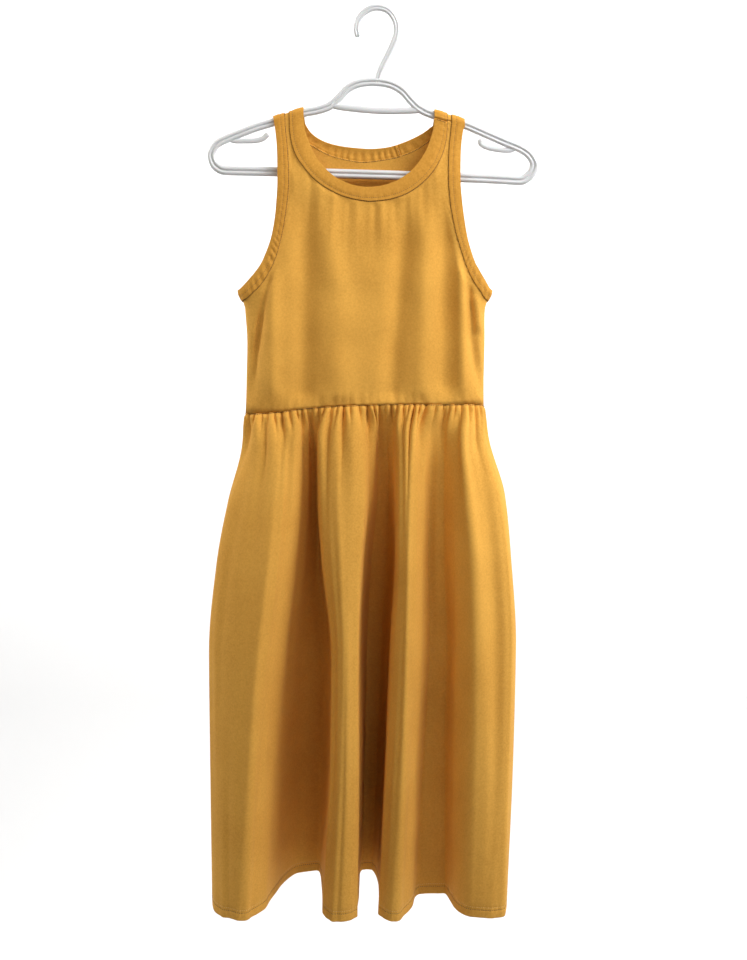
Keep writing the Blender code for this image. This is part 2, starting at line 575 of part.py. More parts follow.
def surface_normals(points, closed=False):
    """Unit normals of a grid of points."""
    if closed:
        ring = np.concatenate([points[-2:-1], points, points[1:2]])
        along_u = (ring[2:] - ring[:-2])
    else:
        along_u = np.gradient(points, axis=0)
    normal = np.cross(along_u, np.gradient(points, axis=1))
    return normal / np.linalg.norm(normal, axis=-1, keepdims=True)


def half_band(seam, seam_steps, edge, edge_steps, side):
    """Strip of points from a seam to a free edge on one side of the body."""
    seam = along(seam, seam_steps)
    edge = along(edge, edge_steps)
    across = np.linspace(0, 1, 3)[None, :, None]
    flat = seam[:, None, :] * (1 - across) + edge[:, None, :] * across
    return drape(flat[..., 0] / HALF_GIRTH, flat[..., 1], side)


def neckband_points():
    """Ring of points of the neckband, from its seam to its free edge."""
    halves = []
    for side in (1, -1):
        seam = neck_line("seam", side)
        edge = neck_line("edge", side)
        halves.append(half_band(seam, neck_steps(seam, side), edge, neck_steps(edge, side), side))
    return np.concatenate([halves[0], halves[1][::-1][1:]])


def armband_points(left):
    """Ring of points of an armband, from its seam to its free edge."""
    halves = []
    for side in (1, -1):
        seam = arm_line("seam", left, side)
        edge = arm_line("edge", left, side)
        halves.append(half_band(seam, arm_steps(seam, left, side), edge, arm_steps(edge, left, side), side))
    return np.concatenate([halves[0], halves[1][::-1][1:]])


def band(points, inside):
    """Lift a band off the body, crown its middle and leave the seam gap."""
    points = pull_in(points, SEAM_GAP / 2, ["v0"])
    normal = surface_normals(points, closed=True)
    away = np.sum(normal * (points - inside), axis=-1, keepdims=True)
    normal = normal * np.sign(np.mean(away))
    lift = np.array([BAND_LIFT, BAND_LIFT + BAND_CROWN, BAND_LIFT])[None, :, None]
    moved = points + normal * lift
    moved[-1] = moved[0]
    return moved


def skirt_points(side, columns):
    """Grid of points of a gathered skirt panel, from the waist seam to the hem."""
    folds = FRONT_FOLDS if side > 0 else BACK_FOLDS
    gathers = FRONT_GATHERS if side > 0 else BACK_GATHERS
    u = np.linspace(0, 1, columns + 1)
    place = -1 + 2 * u
    top_z = waist_height(place, side)
    top = drape(place, top_z, side)[:, :2]
    lines = np.array([row[1] for row in folds])
    levels = [top]
    for k in range(len(FOLD_HEIGHTS)):
        spots = np.array([row[2 + k] for row in folds]) / 1000
        levels.append(glide(u, lines, spots))
    mean_top = -0.497
    knots = np.concatenate([[0.0], (mean_top - np.array(FOLD_HEIGHTS) / 1000) / (mean_top - HEM_Z)])
    rows = np.array(SKIRT_ROWS)
    xy = np.swapaxes(glide(rows, knots, np.stack(levels)), 0, 1)
    z = top_z[:, None] + (HEM_Z - top_z[:, None]) * rows[None, :]
    points = np.concatenate([xy, z[..., None]], axis=-1)

    tangent = np.gradient(points[..., :2], axis=0)
    tangent /= np.linalg.norm(tangent, axis=-1, keepdims=True)
    outward = np.stack([tangent[..., 1], -tangent[..., 0]], axis=-1) * side
    swell = np.array(GATHER_SWELL) / 1000
    drop = top_z[:, None] - z
    height = np.interp(drop, swell[:, 0], swell[:, 1])
    beat = gathers * u + 0.30 * np.sin(2 * math.pi * 3.1 * u + 1.0 + side) + 0.16 * np.sin(2 * math.pi * 7.3 * u)
    uneven = 0.82 + 0.18 * np.sin(2 * math.pi * 5.7 * u + 2.0)
    ends = smooth(np.minimum(u, 1 - u) * 34)
    wave = np.cos(2 * math.pi * beat) * uneven * ends
    points[..., :2] += outward * (height * wave[:, None])[..., None]
    return points


def material(name, colour, roughness):
    """Plain surface of one colour."""
    made = bpy.data.materials.new(name)
    made.use_nodes = True
    shader = made.node_tree.nodes["Principled BSDF"]
    shader.inputs["Base Color"].default_value = (*colour, 1.0)
    shader.inputs["Roughness"].default_value = roughness
    return made


def sheet(name, points, wall, group, closed=False, even=False):
    """Make a named cloth piece of even thickness on a grid of points."""
    across, down = points.shape[0] - 1, points.shape[1] - 1
    mesh = bpy.data.meshes.new(name)
    bm = bmesh.new()
    bmesh.ops.create_grid(bm, x_segments=across, y_segments=down, size=0.5)
    for vert in bm.verts:
        i = round((vert.co.x + 0.5) * across)
        j = round((vert.co.y + 0.5) * down)
        vert.co = points[i, j]
    if closed:
        bmesh.ops.remove_doubles(bm, verts=bm.verts, dist=0.00005)
    bmesh.ops.recalc_face_normals(bm, faces=bm.faces)
    bm.to_mesh(mesh)
    bm.free()
    made = bpy.data.objects.new(name, mesh)
    group.objects.link(made)
    made.data.materials.append(material("jersey_" + name, (0.60, 0.32, 0.045), 0.9))
    thick = made.modifiers.new("wall", "SOLIDIFY")
    thick.thickness = wall
    thick.offset = 0.0
    thick.use_even_offset = even
    thick.use_quality_normals = True
    return made


def rod(name, line, radius, group, closed=False, steps=1, sides=2):
    """Make a round rod along points in the plane of the hanger."""
    path = curve(np.array(line) / 1000, closed=closed, steps=steps)
    data = bpy.data.curves.new(name, "CURVE")
    data.dimensions = "3D"
    data.bevel_depth = radius
    data.bevel_resolution = sides
    data.use_fill_caps = not closed
    spline = data.splines.new("POLY")
    spline.points.add(len(path) - 1)
    for k, (x, z) in enumerate(path):
        spline.points[k].co = (x, 0.0, z, 1.0)
    spline.use_cyclic_u = closed
    bent = bpy.data.objects.new(name + "_line", data)
    group.objects.link(bent)
    bpy.context.view_layer.update()
    graph = bpy.context.evaluated_depsgraph_get()
    mesh = bpy.data.meshes.new_from_object(bent.evaluated_get(graph))
    made = bpy.data.objects.new(name, mesh)
    made.matrix_world = bent.matrix_world
    group.objects.link(made)
    bpy.data.objects.remove(bent)
    bm = bmesh.new()
    bm.from_mesh(mesh)
    bmesh.ops.remove_doubles(bm, verts=bm.verts, dist=0.00001)
    bmesh.ops.recalc_face_normals(bm, faces=bm.faces)
    bm.to_mesh(mesh)
    bm.free()
    return made


def hanger(group, cutters):
    """Join the frame, hook, eye bar and strap hooks into one moulding."""
    frame = rod("hanger", HANGER_FRAME, ARM_ROD, group, closed=True)
    pieces = (
        rod("hook_rod", HOOK, HOOK_ROD, cutters),
        rod("eye_bar", CROSSBAR, CROSSBAR_ROD, cutters),
        rod("strap_hook_left", STRAP_HOOK_LEFT, STRAP_HOOK_ROD, cutters, sides=1),
        rod("strap_hook_right", STRAP_HOOK_RIGHT, STRAP_HOOK_ROD, cutters, sides=1),
    )
    for piece in pieces:
        piece.hide_render = True
        piece.display_type = "WIRE"
        join = frame.modifiers.new(piece.name, "BOOLEAN")
        join.operation = "UNION"
        join.solver = "EXACT"
        join.object = piece
    frame.data.materials.clear()
    frame.data.materials.append(material("moulded_plastic", (0.80, 0.80, 0.79), 0.35))
    return frame


def main():
    """Build the dress and its hanger."""
    for item in list(bpy.data.objects):
        bpy.data.objects.remove(item)
    group = bpy.data.collections.new("sleeveless_dress")
    cutters = bpy.data.collections.new("cutters")
    bpy.context.scene.collection.children.link(group)
    bpy.context.scene.collection.children.link(cutters)
    cutters.hide_render = True

    half = SEAM_GAP / 2
    front = pull_in(bodice_points(1, BODICE_ROWS), half, ["v0", "v1", "u0", "u1"])
    back = pull_in(bodice_points(-1, BODICE_ROWS), half, ["v0", "v1", "u0", "u1"])
    sheet("front_bodice", front, CLOTH, group)
    sheet("back_bodice", back, CLOTH, group)
    sheet("neckband", band(neckband_points(), np.array([-0.0115, 0.0, -0.13])), BAND, group, closed=True)
    sheet("left_armband", band(armband_points(True), np.array([-0.10, 0.0, -0.24])), BAND, group, closed=True)
    sheet("right_armband", band(armband_points(False), np.array([0.07, 0.0, -0.24])), BAND, group, closed=True)
    front_skirt = pull_in(skirt_points(1, FRONT_GATHERS * 4), half, ["u0", "u1"])
    back_skirt = pull_in(skirt_points(-1, 98), half, ["u0", "u1"])
    front_skirt = pull_in(front_skirt, half + WAIST_ROOM, ["v0"])
    back_skirt = pull_in(back_skirt, half + WAIST_ROOM, ["v0"])
    sheet("front_skirt", front_skirt, CLOTH, group, even=True)
    sheet("back_skirt", back_skirt, CLOTH, group, even=True)
    hanger(group, cutters)


main()
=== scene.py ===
"""Sleeveless jersey dress with a gathered skirt on a thin white hanger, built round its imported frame."""
import math

import bmesh
import bpy
import numpy as np
from bpy.props import FloatProperty, FloatVectorProperty, IntProperty, PointerProperty
from mathutils import Matrix, Vector


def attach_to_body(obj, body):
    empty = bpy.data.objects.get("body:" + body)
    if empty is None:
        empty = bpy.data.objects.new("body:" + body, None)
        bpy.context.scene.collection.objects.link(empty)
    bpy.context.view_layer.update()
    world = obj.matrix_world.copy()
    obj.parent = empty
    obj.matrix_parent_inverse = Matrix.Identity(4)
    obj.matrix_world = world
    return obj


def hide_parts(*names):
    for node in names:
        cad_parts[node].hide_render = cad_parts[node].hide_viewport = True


bl_info = {
    "name": "Sleeveless Dress on a Hanger",
    "version": (1, 0, 0),
    "blender": (4, 5, 0),
    "location": "View3D > Sidebar > Dress",
    "description": "Builds a gathered jersey dress and its hanger round the packed frame",
    "category": "Object",
}

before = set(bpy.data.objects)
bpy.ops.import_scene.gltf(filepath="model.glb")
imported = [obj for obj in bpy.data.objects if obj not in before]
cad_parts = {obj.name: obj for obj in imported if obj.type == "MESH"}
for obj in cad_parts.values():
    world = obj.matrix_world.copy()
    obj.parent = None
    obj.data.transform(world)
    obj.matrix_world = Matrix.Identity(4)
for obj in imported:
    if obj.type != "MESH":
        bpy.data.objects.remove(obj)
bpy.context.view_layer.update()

# Sizes of the cut, in metres: walls, gaps, heights and girth
CLOTH = 0.0012
BAND = 0.0022
BAND_LIFT = 0.0007
BAND_CROWN = 0.0006
BAND_ROUNDING = 0.0007
SEAM_GAP = 0.0003
UNDERLAP = 0.0009
SEAM_FORWARD_LEFT = -0.002
SEAM_FORWARD_RIGHT = 0.0115
SHOULDER_CLEAR = 0.004
HALF_GIRTH = 0.1715
ARMHOLE_LOW = -0.36
SKIRT_TOP = -0.497
SKIRT_DROP = 0.69
HEM_Z = -1.186

# How cloth turns over the hanger's arm and takes the body's oval section below it
WRAP = 0.0058
RAMP = 0.080
SECTION_POWER = 3.0
SECTION_ASPECT = 0.22

# Radii of the hanger's rods (m), half width of their groove (radians), top of the bottom bar (m)
ARM_ROD = 0.0046
HOOK_ROD = 0.0036
CROSSBAR_ROD = 0.0032
STRAP_HOOK_ROD = 0.0022
GROOVE_HALF = 0.30
BOTTOM_BAR_TOP = -0.180
BOTTOM_BAR_EXTRA = 0.16

# Grids of points: steps along an armhole, a side seam and the waist, rows down a panel,
# samples round half a band and rows across it
ARM_STEPS = 62
SEAM_STEPS = 20
WAIST_STEPS = 92
PANEL_ROWS = 84
NECK_SAMPLES = 421
ARM_SAMPLES = 161
BAND_ROWS = 10
BAND_MIDDLE = 5

# How a panel's grid is filled: share of the neck seam up to the waist's corners and the
# armhole's foot, bend of the ruling lines, blending round corners, rows, rounds and step
NECK_CORNER = 0.43
NECK_TURN = 0.39
RULING_BEND = 0.75
CORNER_BLENDS = 112
FILL_ROWS = 30
FILL_ROUNDS = 1500
FILL_STEP = 0.6

# Low relief of the bodice, in metres: where creases and wrinkles start below the hook, how
# far they ease from there, from the side seams and from the edges, and the height, beat,
# middle and spread of the puckers at the waist and at the armholes
CREASES_FROM = 0.19
CREASES_EASE = 0.10
CREASES_SIDE_EASE = 0.012
CREASES_EDGE_EASE = 0.017
CREASE_END_SHARE = 0.25
WRINKLES_FROM = 0.15
WRINKLES_EASE = 0.04
WRINKLES_EDGE_EASE = 0.02
WRINKLE_SIZE = 0.055
NECK_FOLD_HALF = 0.0042
NECK_FOLD_RUN = 0.045
PUCKER = 0.0012
PUCKER_BEAT = 0.0105
PUCKER_MIDDLE = 0.004
PUCKER_SPREAD = 0.011
ARM_PULL = 0.0004
ARM_PULL_BEAT = 0.0125
ARM_PULL_MIDDLE = 0.006
ARM_PULL_SPREAD = 0.008

# Relief of the bands: dent of the stitches, beat and middle of the ripples, and the height
# below which an armband's ripples grow
STITCH_DENT = 0.00065
STITCH_DENT_HALF = 0.06
BAND_RIPPLE_BEAT = 0.0092
BAND_RIPPLE_MIDDLE = 0.34
ARMBAND_RIPPLES_GROW = -0.265

# Relief of the skirt: tuck under the bodice's edge, dents and pull of the hem's stitches (m)
TUCK = 0.0015
HEM_DENT = 0.00075
HEM_DENT_HALF = 0.0011
HEM_PULL = 0.00035
HEM_PULLS = 118
HEM_WAVE = 0.0007

# Threads (m): distance inside the seam, then length and half width of each kind of stitch,
# then height above the cloth
STITCH_INSET = 0.0016
PANEL_STITCH = (0.0028, 0.00030)
BAND_STITCH = (0.0028, 0.00045)
BAND_SEAM_STITCH = (0.0020, 0.00070)
WAIST_STITCH = (0.0024, 0.0005)
THREAD_LIFT = 0.0001
SEAM_THREAD_LIFT = 0.0003

# Body section down the height: height, middle, half width, front depth, back depth (mm)
BODY = (
    (-505, -16.5, 156.6, 35, 30),
    (-460, -15.9, 155.0, 33, 28),
    (-410, -14.9, 154.3, 30, 25),
    (-371, -16.0, 155.2, 27, 22),
    (-358, -16.0, 158.7, 26, 21),
    (-345, -16.0, 163.5, 25, 20),
    (-300, -16.0, 163.5, 22, 17),
    (-200, -16.0, 163.5, 17, 14),
    (-100, -16.0, 163.5, 14, 12),
)

# Middle line of the hanger's closed frame: x, z (mm)
HANGER_FRAME = (
    (-92.6, -123.4), (-113.6, -129.6), (-134.6, -135.8), (-154.1, -141.4), (-172.0, -147.9),
    (-189.9, -154.8), (-203.5, -161.3), (-209.9, -169.6), (-211.4, -177.3), (-208.5, -186.0),
    (-203.3, -191.2), (-196.1, -194.2), (-181.9, -194.9), (-128.0, -196.1), (-56.4, -198.2),
    (-6.9, -199.6), (36.5, -200.9), (108.4, -203.4), (142.7, -204.8), (164.7, -206.0),
    (183.1, -206.8), (190.4, -203.8), (196.4, -197.9), (199.9, -189.6), (198.4, -182.4),
    (192.1, -174.1), (181.0, -167.1), (162.7, -159.9), (138.1, -149.6), (113.7, -139.4),
    (92.0, -132.2), (72.0, -126.4), (61.0, -122.4), (51.0, -116.8), (41.9, -108.1),
    (31.5, -97.0), (16.6, -88.9), (-2.9, -86.0), (-22.2, -87.4), (-37.1, -93.8),
    (-49.0, -105.2), (-61.1, -115.3), (-76.1, -120.4),
)
HOOK = (
    (-25.1, -28.6), (-26.3, -21.7), (-23.9, -11.4), (-18.1, -3.4), (-9.5, 1.9), (-0.3, 3.6),
    (10.5, 1.3), (17.8, -4.6), (22.8, -13.5), (24.2, -23.1), (22.1, -34.0), (16.4, -46.5),
    (9.2, -60.4), (2.7, -73.5), (-0.5, -86.0),
)
CROSSBAR = ((-58.0, -112.5), (-50.0, -115.7), (-22.1, -119.1), (9.6, -121.2), (41.2, -120.6), (56.0, -119.5))
STRAP_HOOK_LEFT = (
    (-188.0, -154.5), (-182.8, -157.6), (-167.7, -157.9), (-154.3, -157.4), (-145.3, -154.8),
    (-140.6, -150.6),
)
STRAP_HOOK_RIGHT = (
    (176.0, -166.0), (168.9, -169.4), (156.8, -169.0), (142.1, -166.5), (132.6, -162.3),
    (131.0, -157.6),
)
# Height of the arms' middle line under the straps and beyond: x, z (mm)
ARM_LINE = (
    (-180, -151.0), (-134.6, -135.8), (-92.6, -123.4), (72.0, -126.4), (92.0, -132.2), (113.7, -139.4),
    (160, -155.0),
)

# Seams and free edges drawn on the cloth between the two shoulder ridges: x, height (mm)
NECK_SEAM_FRONT = (
    (-111.0, -139.0), (-110.4, -147.0), (-108.5, -160.0), (-104.0, -174.0), (-96.8, -186.2), (-81.8, -204.0),
    (-63.8, -217.3), (-42.9, -227.1), (-16.2, -233.0), (7.6, -232.2), (31.4, -226.3), (52.2, -214.4),
    (70.1, -196.6), (81.0, -177.0), (86.0, -160.0), (87.5, -148.0),
)
NECK_EDGE_FRONT = (
    (-92.8, -136.0), (-91.4, -146.0), (-87.8, -156.8), (-78.8, -177.4), (-66.8, -192.3), (-51.9, -204.7),
    (-31.0, -213.7), (-10.3, -216.2), (10.4, -213.3), (31.3, -204.4), (47.7, -191.0), (61.2, -171.6),
    (68.8, -151.0), (71.0, -141.0),
)
NECK_SEAM_BACK = (
    (-110.0, -138.0), (-106.0, -146.0), (-97.0, -155.0), (-83.0, -163.3), (-58.9, -175.3), (-28.6, -182.1),
    (-10.4, -182.5), (23.1, -177.5), (47.3, -169.0), (65.2, -158.0), (78.0, -149.0), (86.0, -142.0),
)
NECK_EDGE_BACK = (
    (-92.6, -132.0), (-90.4, -139.0), (-82.8, -148.9), (-67.9, -157.8), (-46.8, -163.4), (-22.5, -166.1),
    (-4.4, -166.7), (17.0, -164.1), (38.1, -157.2), (56.1, -148.7), (67.0, -141.0), (71.2, -135.0),
)
ARM_SEAM_LEFT = (
    (-116.6, -145.0), (-114.9, -160.0), (-113.3, -182.6), (-112.8, -208.6), (-113.9, -226.0),
    (-117.4, -250.9), (-122.1, -275.8), (-129.6, -302.1), (-139.6, -323.5), (-153.9, -342.5),
    (-168.0, -355.0), (-177.0, -360.0),
)
ARM_EDGE_LEFT = (
    (-129.2, -145.4), (-127.0, -170.2), (-126.5, -207.4), (-128.0, -232.2), (-130.8, -257.1),
    (-136.2, -282.0), (-146.3, -307.1), (-154.3, -319.7), (-166.7, -334.0), (-176.5, -344.0),
)
ARM_SEAM_RIGHT = (
    (93.0, -148.0), (91.4, -162.0), (90.2, -182.0), (90.2, -207.4), (91.8, -227.3),
    (94.6, -247.1), (100.0, -272.0), (107.3, -295.5), (114.8, -316.7), (126.5, -338.7),
    (137.5, -354.5), (145.3, -360.0),
)
ARM_EDGE_RIGHT = (
    (108.2, -147.0), (105.6, -170.2), (105.1, -207.4), (107.2, -232.2), (110.6, -257.1),
    (115.4, -282.0), (123.5, -307.1), (130.2, -319.7), (138.5, -333.5), (144.8, -344.0),
)
SHOULDER = {
    "neck_seam": (-111.2, 88.0),
    "neck_edge": (-93.4, 72.0),
    "arm_seam": (-117.8, 94.2),
    "arm_edge": (-132.3, 110.6),
}
UNDERARM_SEAM = -0.3615
UNDERARM_EDGE = -0.3455

# Small upright folds that hang from the neck seam: x (mm), depth (mm)
NECK_FOLDS = (
    (-83, -1.2), (-72, 0.8), (-55, 1.3), (-44, -0.8), (-36, -1.2), (-26, 1.0), (-15, -0.5), (-4, -1.5),
    (5, 1.2), (13, -0.6), (21, -1.3), (31, 0.7), (41, 1.2), (57, -1.1), (65, 0.5), (73, 1.0),
)

# Height of the waist seam along the front and the back: place across (-1 to 1), z (mm)
WAIST_FRONT = (
    (-1.0, -505.8), (-0.80, -503.6), (-0.62, -500.6), (-0.48, -496.8), (-0.30, -494.0), (0.0, -491.6),
    (0.30, -490.6), (0.62, -491.4), (0.80, -491.8), (0.90, -493.6), (1.0, -499.2),
)
WAIST_BACK = ((-1.0, -505.8), (-0.5, -500.0), (0.0, -497.0), (0.5, -497.0), (1.0, -499.2))

# Creases in the bodice: side, from x z, to x z, half width, rise out of the cloth (mm)
CREASES = (
    ("front", -138, -328, -149, -376, 4.5, -5.5),
    ("front", -149, -376, -157, -425, 4.5, -8.5),
    ("front", -157, -425, -164, -495, 4.5, -7.0),
    ("front", -136, -330, -137, -515, 12, 6.5),
    ("front", -90, -205, -97, -515, 15, -6.3),
    ("front", -72, -215, -53, -340, 16, 4.5),
    ("front", -53, -340, -50, -515, 20, 4.5),
    ("front", 36, -235, 14, -515, 13, -6.3),
    ("front", 60, -240, 57, -515, 14, 4.5),
    ("front", 84, -260, 88, -515, 13, -6.5),
    ("front", 106, -300, 112, -515, 8, 6.5),
    ("front", 118, -340, 123, -411, 4.5, -5.0),
    ("front", 123, -411, 136, -490, 4.5, -6.0),
    ("front", 128, -352, 134, -398, 6, 6.5),
    ("back", -90, -240, -84, -480, 20, 4.0),
    ("back", -30, -230, -22, -480, 22, -3.0),
    ("back", 50, -240, 54, -480, 22, 4.0),
)

# Folds of the skirt: heights of the columns (mm), then for each line down the cloth
# its place across the panel (0 to 1) and x, y at each of those heights (mm)
FOLD_HEIGHTS = (-535, -615, -700, -820, -960, -1186)
FRONT_FOLDS = (
    ("left seam", 0.000, (-176, 0), (-198, 0), (-215, 0), (-226, 0), (-227, 0), (-229, 4)),
    ("lobe 1 side", 0.035, (-175, -12), (-197, -16), (-214, -18), (-226, -20), (-227, -21), (-229, -22)),
    ("lobe 1 turn", 0.058, (-170, -22), (-194, -28), (-211, -32), (-222, -35), (-223, -38), (-223, -52)),
    ("lobe 1 ridge", 0.085, (-161, -32), (-183, -41), (-200, -46), (-211, -50), (-212, -54), (-211, -68)),
    ("lobe 1 crest", 0.150, (-133, -47), (-138, -61), (-146, -71), (-160, -77), (-171, -79), (-185, -79)),
    ("lobe 1 flank", 0.215, (-110, -42), (-112, -48), (-119, -49), (-132, -48), (-144, -43), (-156, -50)),
    ("hollow 1 slope", 0.255, (-96, -28), (-95, -20), (-101, -10), (-115, -1), (-127, 7), (-138, 14)),
    ("hollow 1 left", 0.282, (-89, -18), (-88, -2), (-91, 12), (-101, 28), (-109, 44), (-116, 54)),
    ("hollow 1 right", 0.305, (-83, -16), (-82, 2), (-81, 20), (-79, 38), (-81, 53), (-88, 60)),
    ("lobe 2 back", 0.325, (-77, -26), (-77, -12), (-74, 4), (-63, 12), (-65, 16), (-77, 16)),
    ("lobe 2 left", 0.352, (-74, -40), (-75, -46), (-70, -50), (-59, -52), (-61, -56), (-74, -62)),
    ("lobe 2 crest", 0.425, (-44, -48), (-46, -61), (-44, -69), (-41, -74), (-42, -78), (-50, -82)),
    ("lobe 2 right", 0.477, (-20, -44), (-15, -50), (-20, -55), (-24, -58), (-24, -61), (-27, -68)),
    ("lobe 2 flank", 0.510, (-9, -34), (-10, -28), (-17, -20), (-22, -12), (-22, -6), (-27, -2)),
    ("hollow 2 left", 0.552, (1, -19), (1, -1), (-6, 20), (-13, 41), (-16, 55), (-21, 62)),
    ("hollow 2 right", 0.582, (12, -17), (14, 1), (12, 20), (7, 42), (2, 56), (-8, 62)),
    ("lobe 3 back", 0.605, (20, -26), (22, -14), (23, -2), (17, 8), (12, 13), (3, 13)),
    ("lobe 3 left", 0.630, (26, -40), (26, -46), (26, -50), (20, -52), (14, -54), (3, -60)),
    ("lobe 3 crest", 0.692, (42, -48), (40, -61), (39, -70), (37, -76), (33, -79), (24, -82)),
    ("lobe 3 flank", 0.745, (58, -36), (58, -43), (58, -44), (59, -44), (54, -43), (46, -46)),
    ("hollow 3 left", 0.785, (74, -27), (71, -23), (70, -18), (73, -13), (68, -9), (60, -8)),
    ("hollow 3 right", 0.820, (88, -27), (87, -23), (88, -19), (93, -14), (91, -10), (94, -6)),
    ("lobe 4 flank", 0.850, (99, -37), (100, -43), (103, -47), (106, -48), (105, -45), (106, -42)),
    ("lobe 4 ridge", 0.875, (108, -46), (115, -58), (124, -67), (129, -73), (131, -75), (129, -70)),
    ("lobe 4 dip", 0.912, (122, -37), (139, -46), (151, -54), (159, -59), (160, -65), (154, -74)),
    ("lobe 4 turn", 0.945, (135, -30), (158, -40), (170, -49), (177, -55), (176, -59), (174, -65)),
    ("lobe 4 side", 0.970, (144, -14), (168, -18), (178, -21), (186, -24), (185, -25), (180, -23)),
    ("right seam", 1.000, (146, 0), (170, 0), (179, 0), (187, 0), (186, 0), (181, 4)),
)
BACK_FOLDS = (
    ("left seam", 0.000, (-176, 0), (-198, 0), (-215, 0), (-226, 0), (-227, 0), (-229, 4)),
    ("fold 1 side", 0.035, (-174, 16), (-197, 18), (-214, 22), (-225, 25), (-226, 28), (-228, 32)),
    ("fold 1", 0.085, (-159, 34), (-182, 43), (-200, 51), (-212, 57), (-214, 61), (-215, 65)),
    ("hollow 1", 0.170, (-126, 26), (-138, 26), (-152, 29), (-166, 33), (-170, 36), (-172, 38)),
    ("fold 2", 0.280, (-92, 45), (-96, 58), (-100, 70), (-103, 80), (-106, 88), (-108, 95)),
    ("hollow 2", 0.395, (-50, 27), (-51, 27), (-52, 29), (-52, 32), (-52, 35), (-53, 37)),
    ("fold 3", 0.500, (-14, 46), (-14, 60), (-13, 73), (-12, 84), (-12, 92), (-13, 99)),
    ("hollow 3", 0.605, (20, 27), (24, 27), (28, 29), (31, 32), (32, 35), (32, 37)),
    ("fold 4", 0.720, (58, 45), (66, 57), (73, 69), (79, 79), (80, 86), (79, 92)),
    ("hollow 4", 0.835, (96, 26), (106, 26), (116, 28), (124, 31), (126, 34), (125, 36)),
    ("fold 5", 0.920, (130, 33), (153, 43), (163, 51), (171, 56), (170, 60), (167, 63)),
    ("fold 5 side", 0.965, (144, 16), (168, 18), (178, 22), (186, 25), (185, 28), (180, 31)),
    ("right seam", 1.000, (146, 0), (170, 0), (179, 0), (187, 0), (186, 0), (181, 4)),
)

# Sets of gathers: share of the count, height, reach, roundness between crests, seed
GATHERS = ((1.0, 1.6, 0.24, 0.008, 11), (0.47, 2.3, 0.80, 0.03, 23))

# Columns of the front skirt, 0 to 1, where a hollow is too narrow for full gathers
NARROW_HOLLOWS = (0.293, 0.567)
HOLLOW_HALF = 0.028

# Long ripples of the skirt: count across, share of the depth, drift down the cloth, phase
RIPPLES = ((17, 0.55, 1.3, 0.4), (26, 0.45, -2.1, 2.2), (39, 0.28, 2.8, 4.0), (11, 0.5, 0.8, 1.1))

# Joins of the neckband: place (mm), dent (mm), half width (mm)
RIGHT_SHOULDER_SEAM = ((80.0, -9.0, -132.5), 1.3, 0.9)
BACK_JOIN = ((28.0, 9.0, -168.0), -1.3, 1.0)

# Stretch of the neckband's ring along its back, clear of the shoulders, in samples
BACK_STRETCH = slice(430, 835)

# Camera at the photo's angle
CAMERA_PLACE = (-0.0050, -1.60, -0.32)
CAMERA_DOWN = 9.772
CAMERA_LENS = 45.67


def glide(x, xs, ys):
    """Read a short table at x with a smooth curve that never overshoots its rows."""
    xs = np.asarray(xs, float)
    ys = np.asarray(ys, float)
    step = np.diff(xs)
    rise = np.diff(ys, axis=0) / step.reshape((-1,) + (1,) * (ys.ndim - 1))
    slope = np.zeros_like(ys)
    slope[0] = rise[0]
    slope[-1] = rise[-1]
    for k in range(1, len(xs) - 1):
        same = rise[k - 1] * rise[k] > 0
        wide = 2 * step[k] + step[k - 1]
        near = step[k] + 2 * step[k - 1]
        first = np.where(same, rise[k - 1], 1.0)
        second = np.where(same, rise[k], 1.0)
        slope[k] = np.where(same, (wide + near) / (wide / first + near / second), 0.0)
    x = np.asarray(x, float)
    k = np.clip(np.searchsorted(xs, x, side="right") - 1, 0, len(xs) - 2)
    shape = x.shape + (1,) * (ys.ndim - 1)
    t = np.clip((x - xs[k]) / step[k], 0.0, 1.0).reshape(shape)
    span = step[k].reshape(shape)
    held = ys[k] * (1 + 2 * t) * (1 - t) ** 2 + ys[k + 1] * t * t * (3 - 2 * t)
    return held + span * (slope[k] * t * (1 - t) ** 2 - slope[k + 1] * t * t * (1 - t))


def smooth(t):
    """Ease from 0 to 1."""
    t = np.clip(t, 0.0, 1.0)
    return t * t * (3 - 2 * t)


def oval_tables():
    """Return place across (0 to 1), width and depth of a quarter of the body's section."""
    angle = np.linspace(0.0, math.pi / 2, 400)
    width = np.sin(angle) ** (2 / SECTION_POWER)
    depth = np.cos(angle) ** (2 / SECTION_POWER)
    run = np.hypot(np.diff(width), SECTION_ASPECT * np.diff(depth))
    place = np.concatenate([[0.0], np.cumsum(run)])
    return place / place[-1], width, depth


PLACE, WIDTH, DEPTH = oval_tables()
BODY_Z = np.array([row[0] for row in BODY]) / 1000
BODY_SIZE = np.array([row[1:] for row in BODY]) / 1000


def arm_height(x):
    """Height of the hanger arm's middle line at x."""
    line = np.array(ARM_LINE) / 1000
    return np.interp(x, line[:, 0], line[:, 1])


def drape(place, height, side):
    """Lay cloth on the body: place across (-1 to 1), height on the flat cloth, side 1 front."""
    size = glide(height, BODY_Z, BODY_SIZE)
    across = np.interp(np.abs(place), PLACE, WIDTH) * np.sign(place)
    x = size[..., 0] + size[..., 1] * across
    deep = np.where(side > 0, size[..., 2], size[..., 3]) * np.interp(np.abs(place), PLACE, DEPTH)
    arm = arm_height(x)
    over = height - arm
    hang = WRAP + (deep - WRAP) * smooth(-over / RAMP)
    turn = np.clip(over / WRAP, 0.0, math.pi)
    past = np.maximum(over - WRAP * math.pi, 0.0)
    y = np.where(over > 0, WRAP * np.cos(turn), hang)
    z = np.where(over > 0, arm + WRAP * np.sin(turn) - past, height)
    return np.stack([x, -side * y, z], axis=-1)


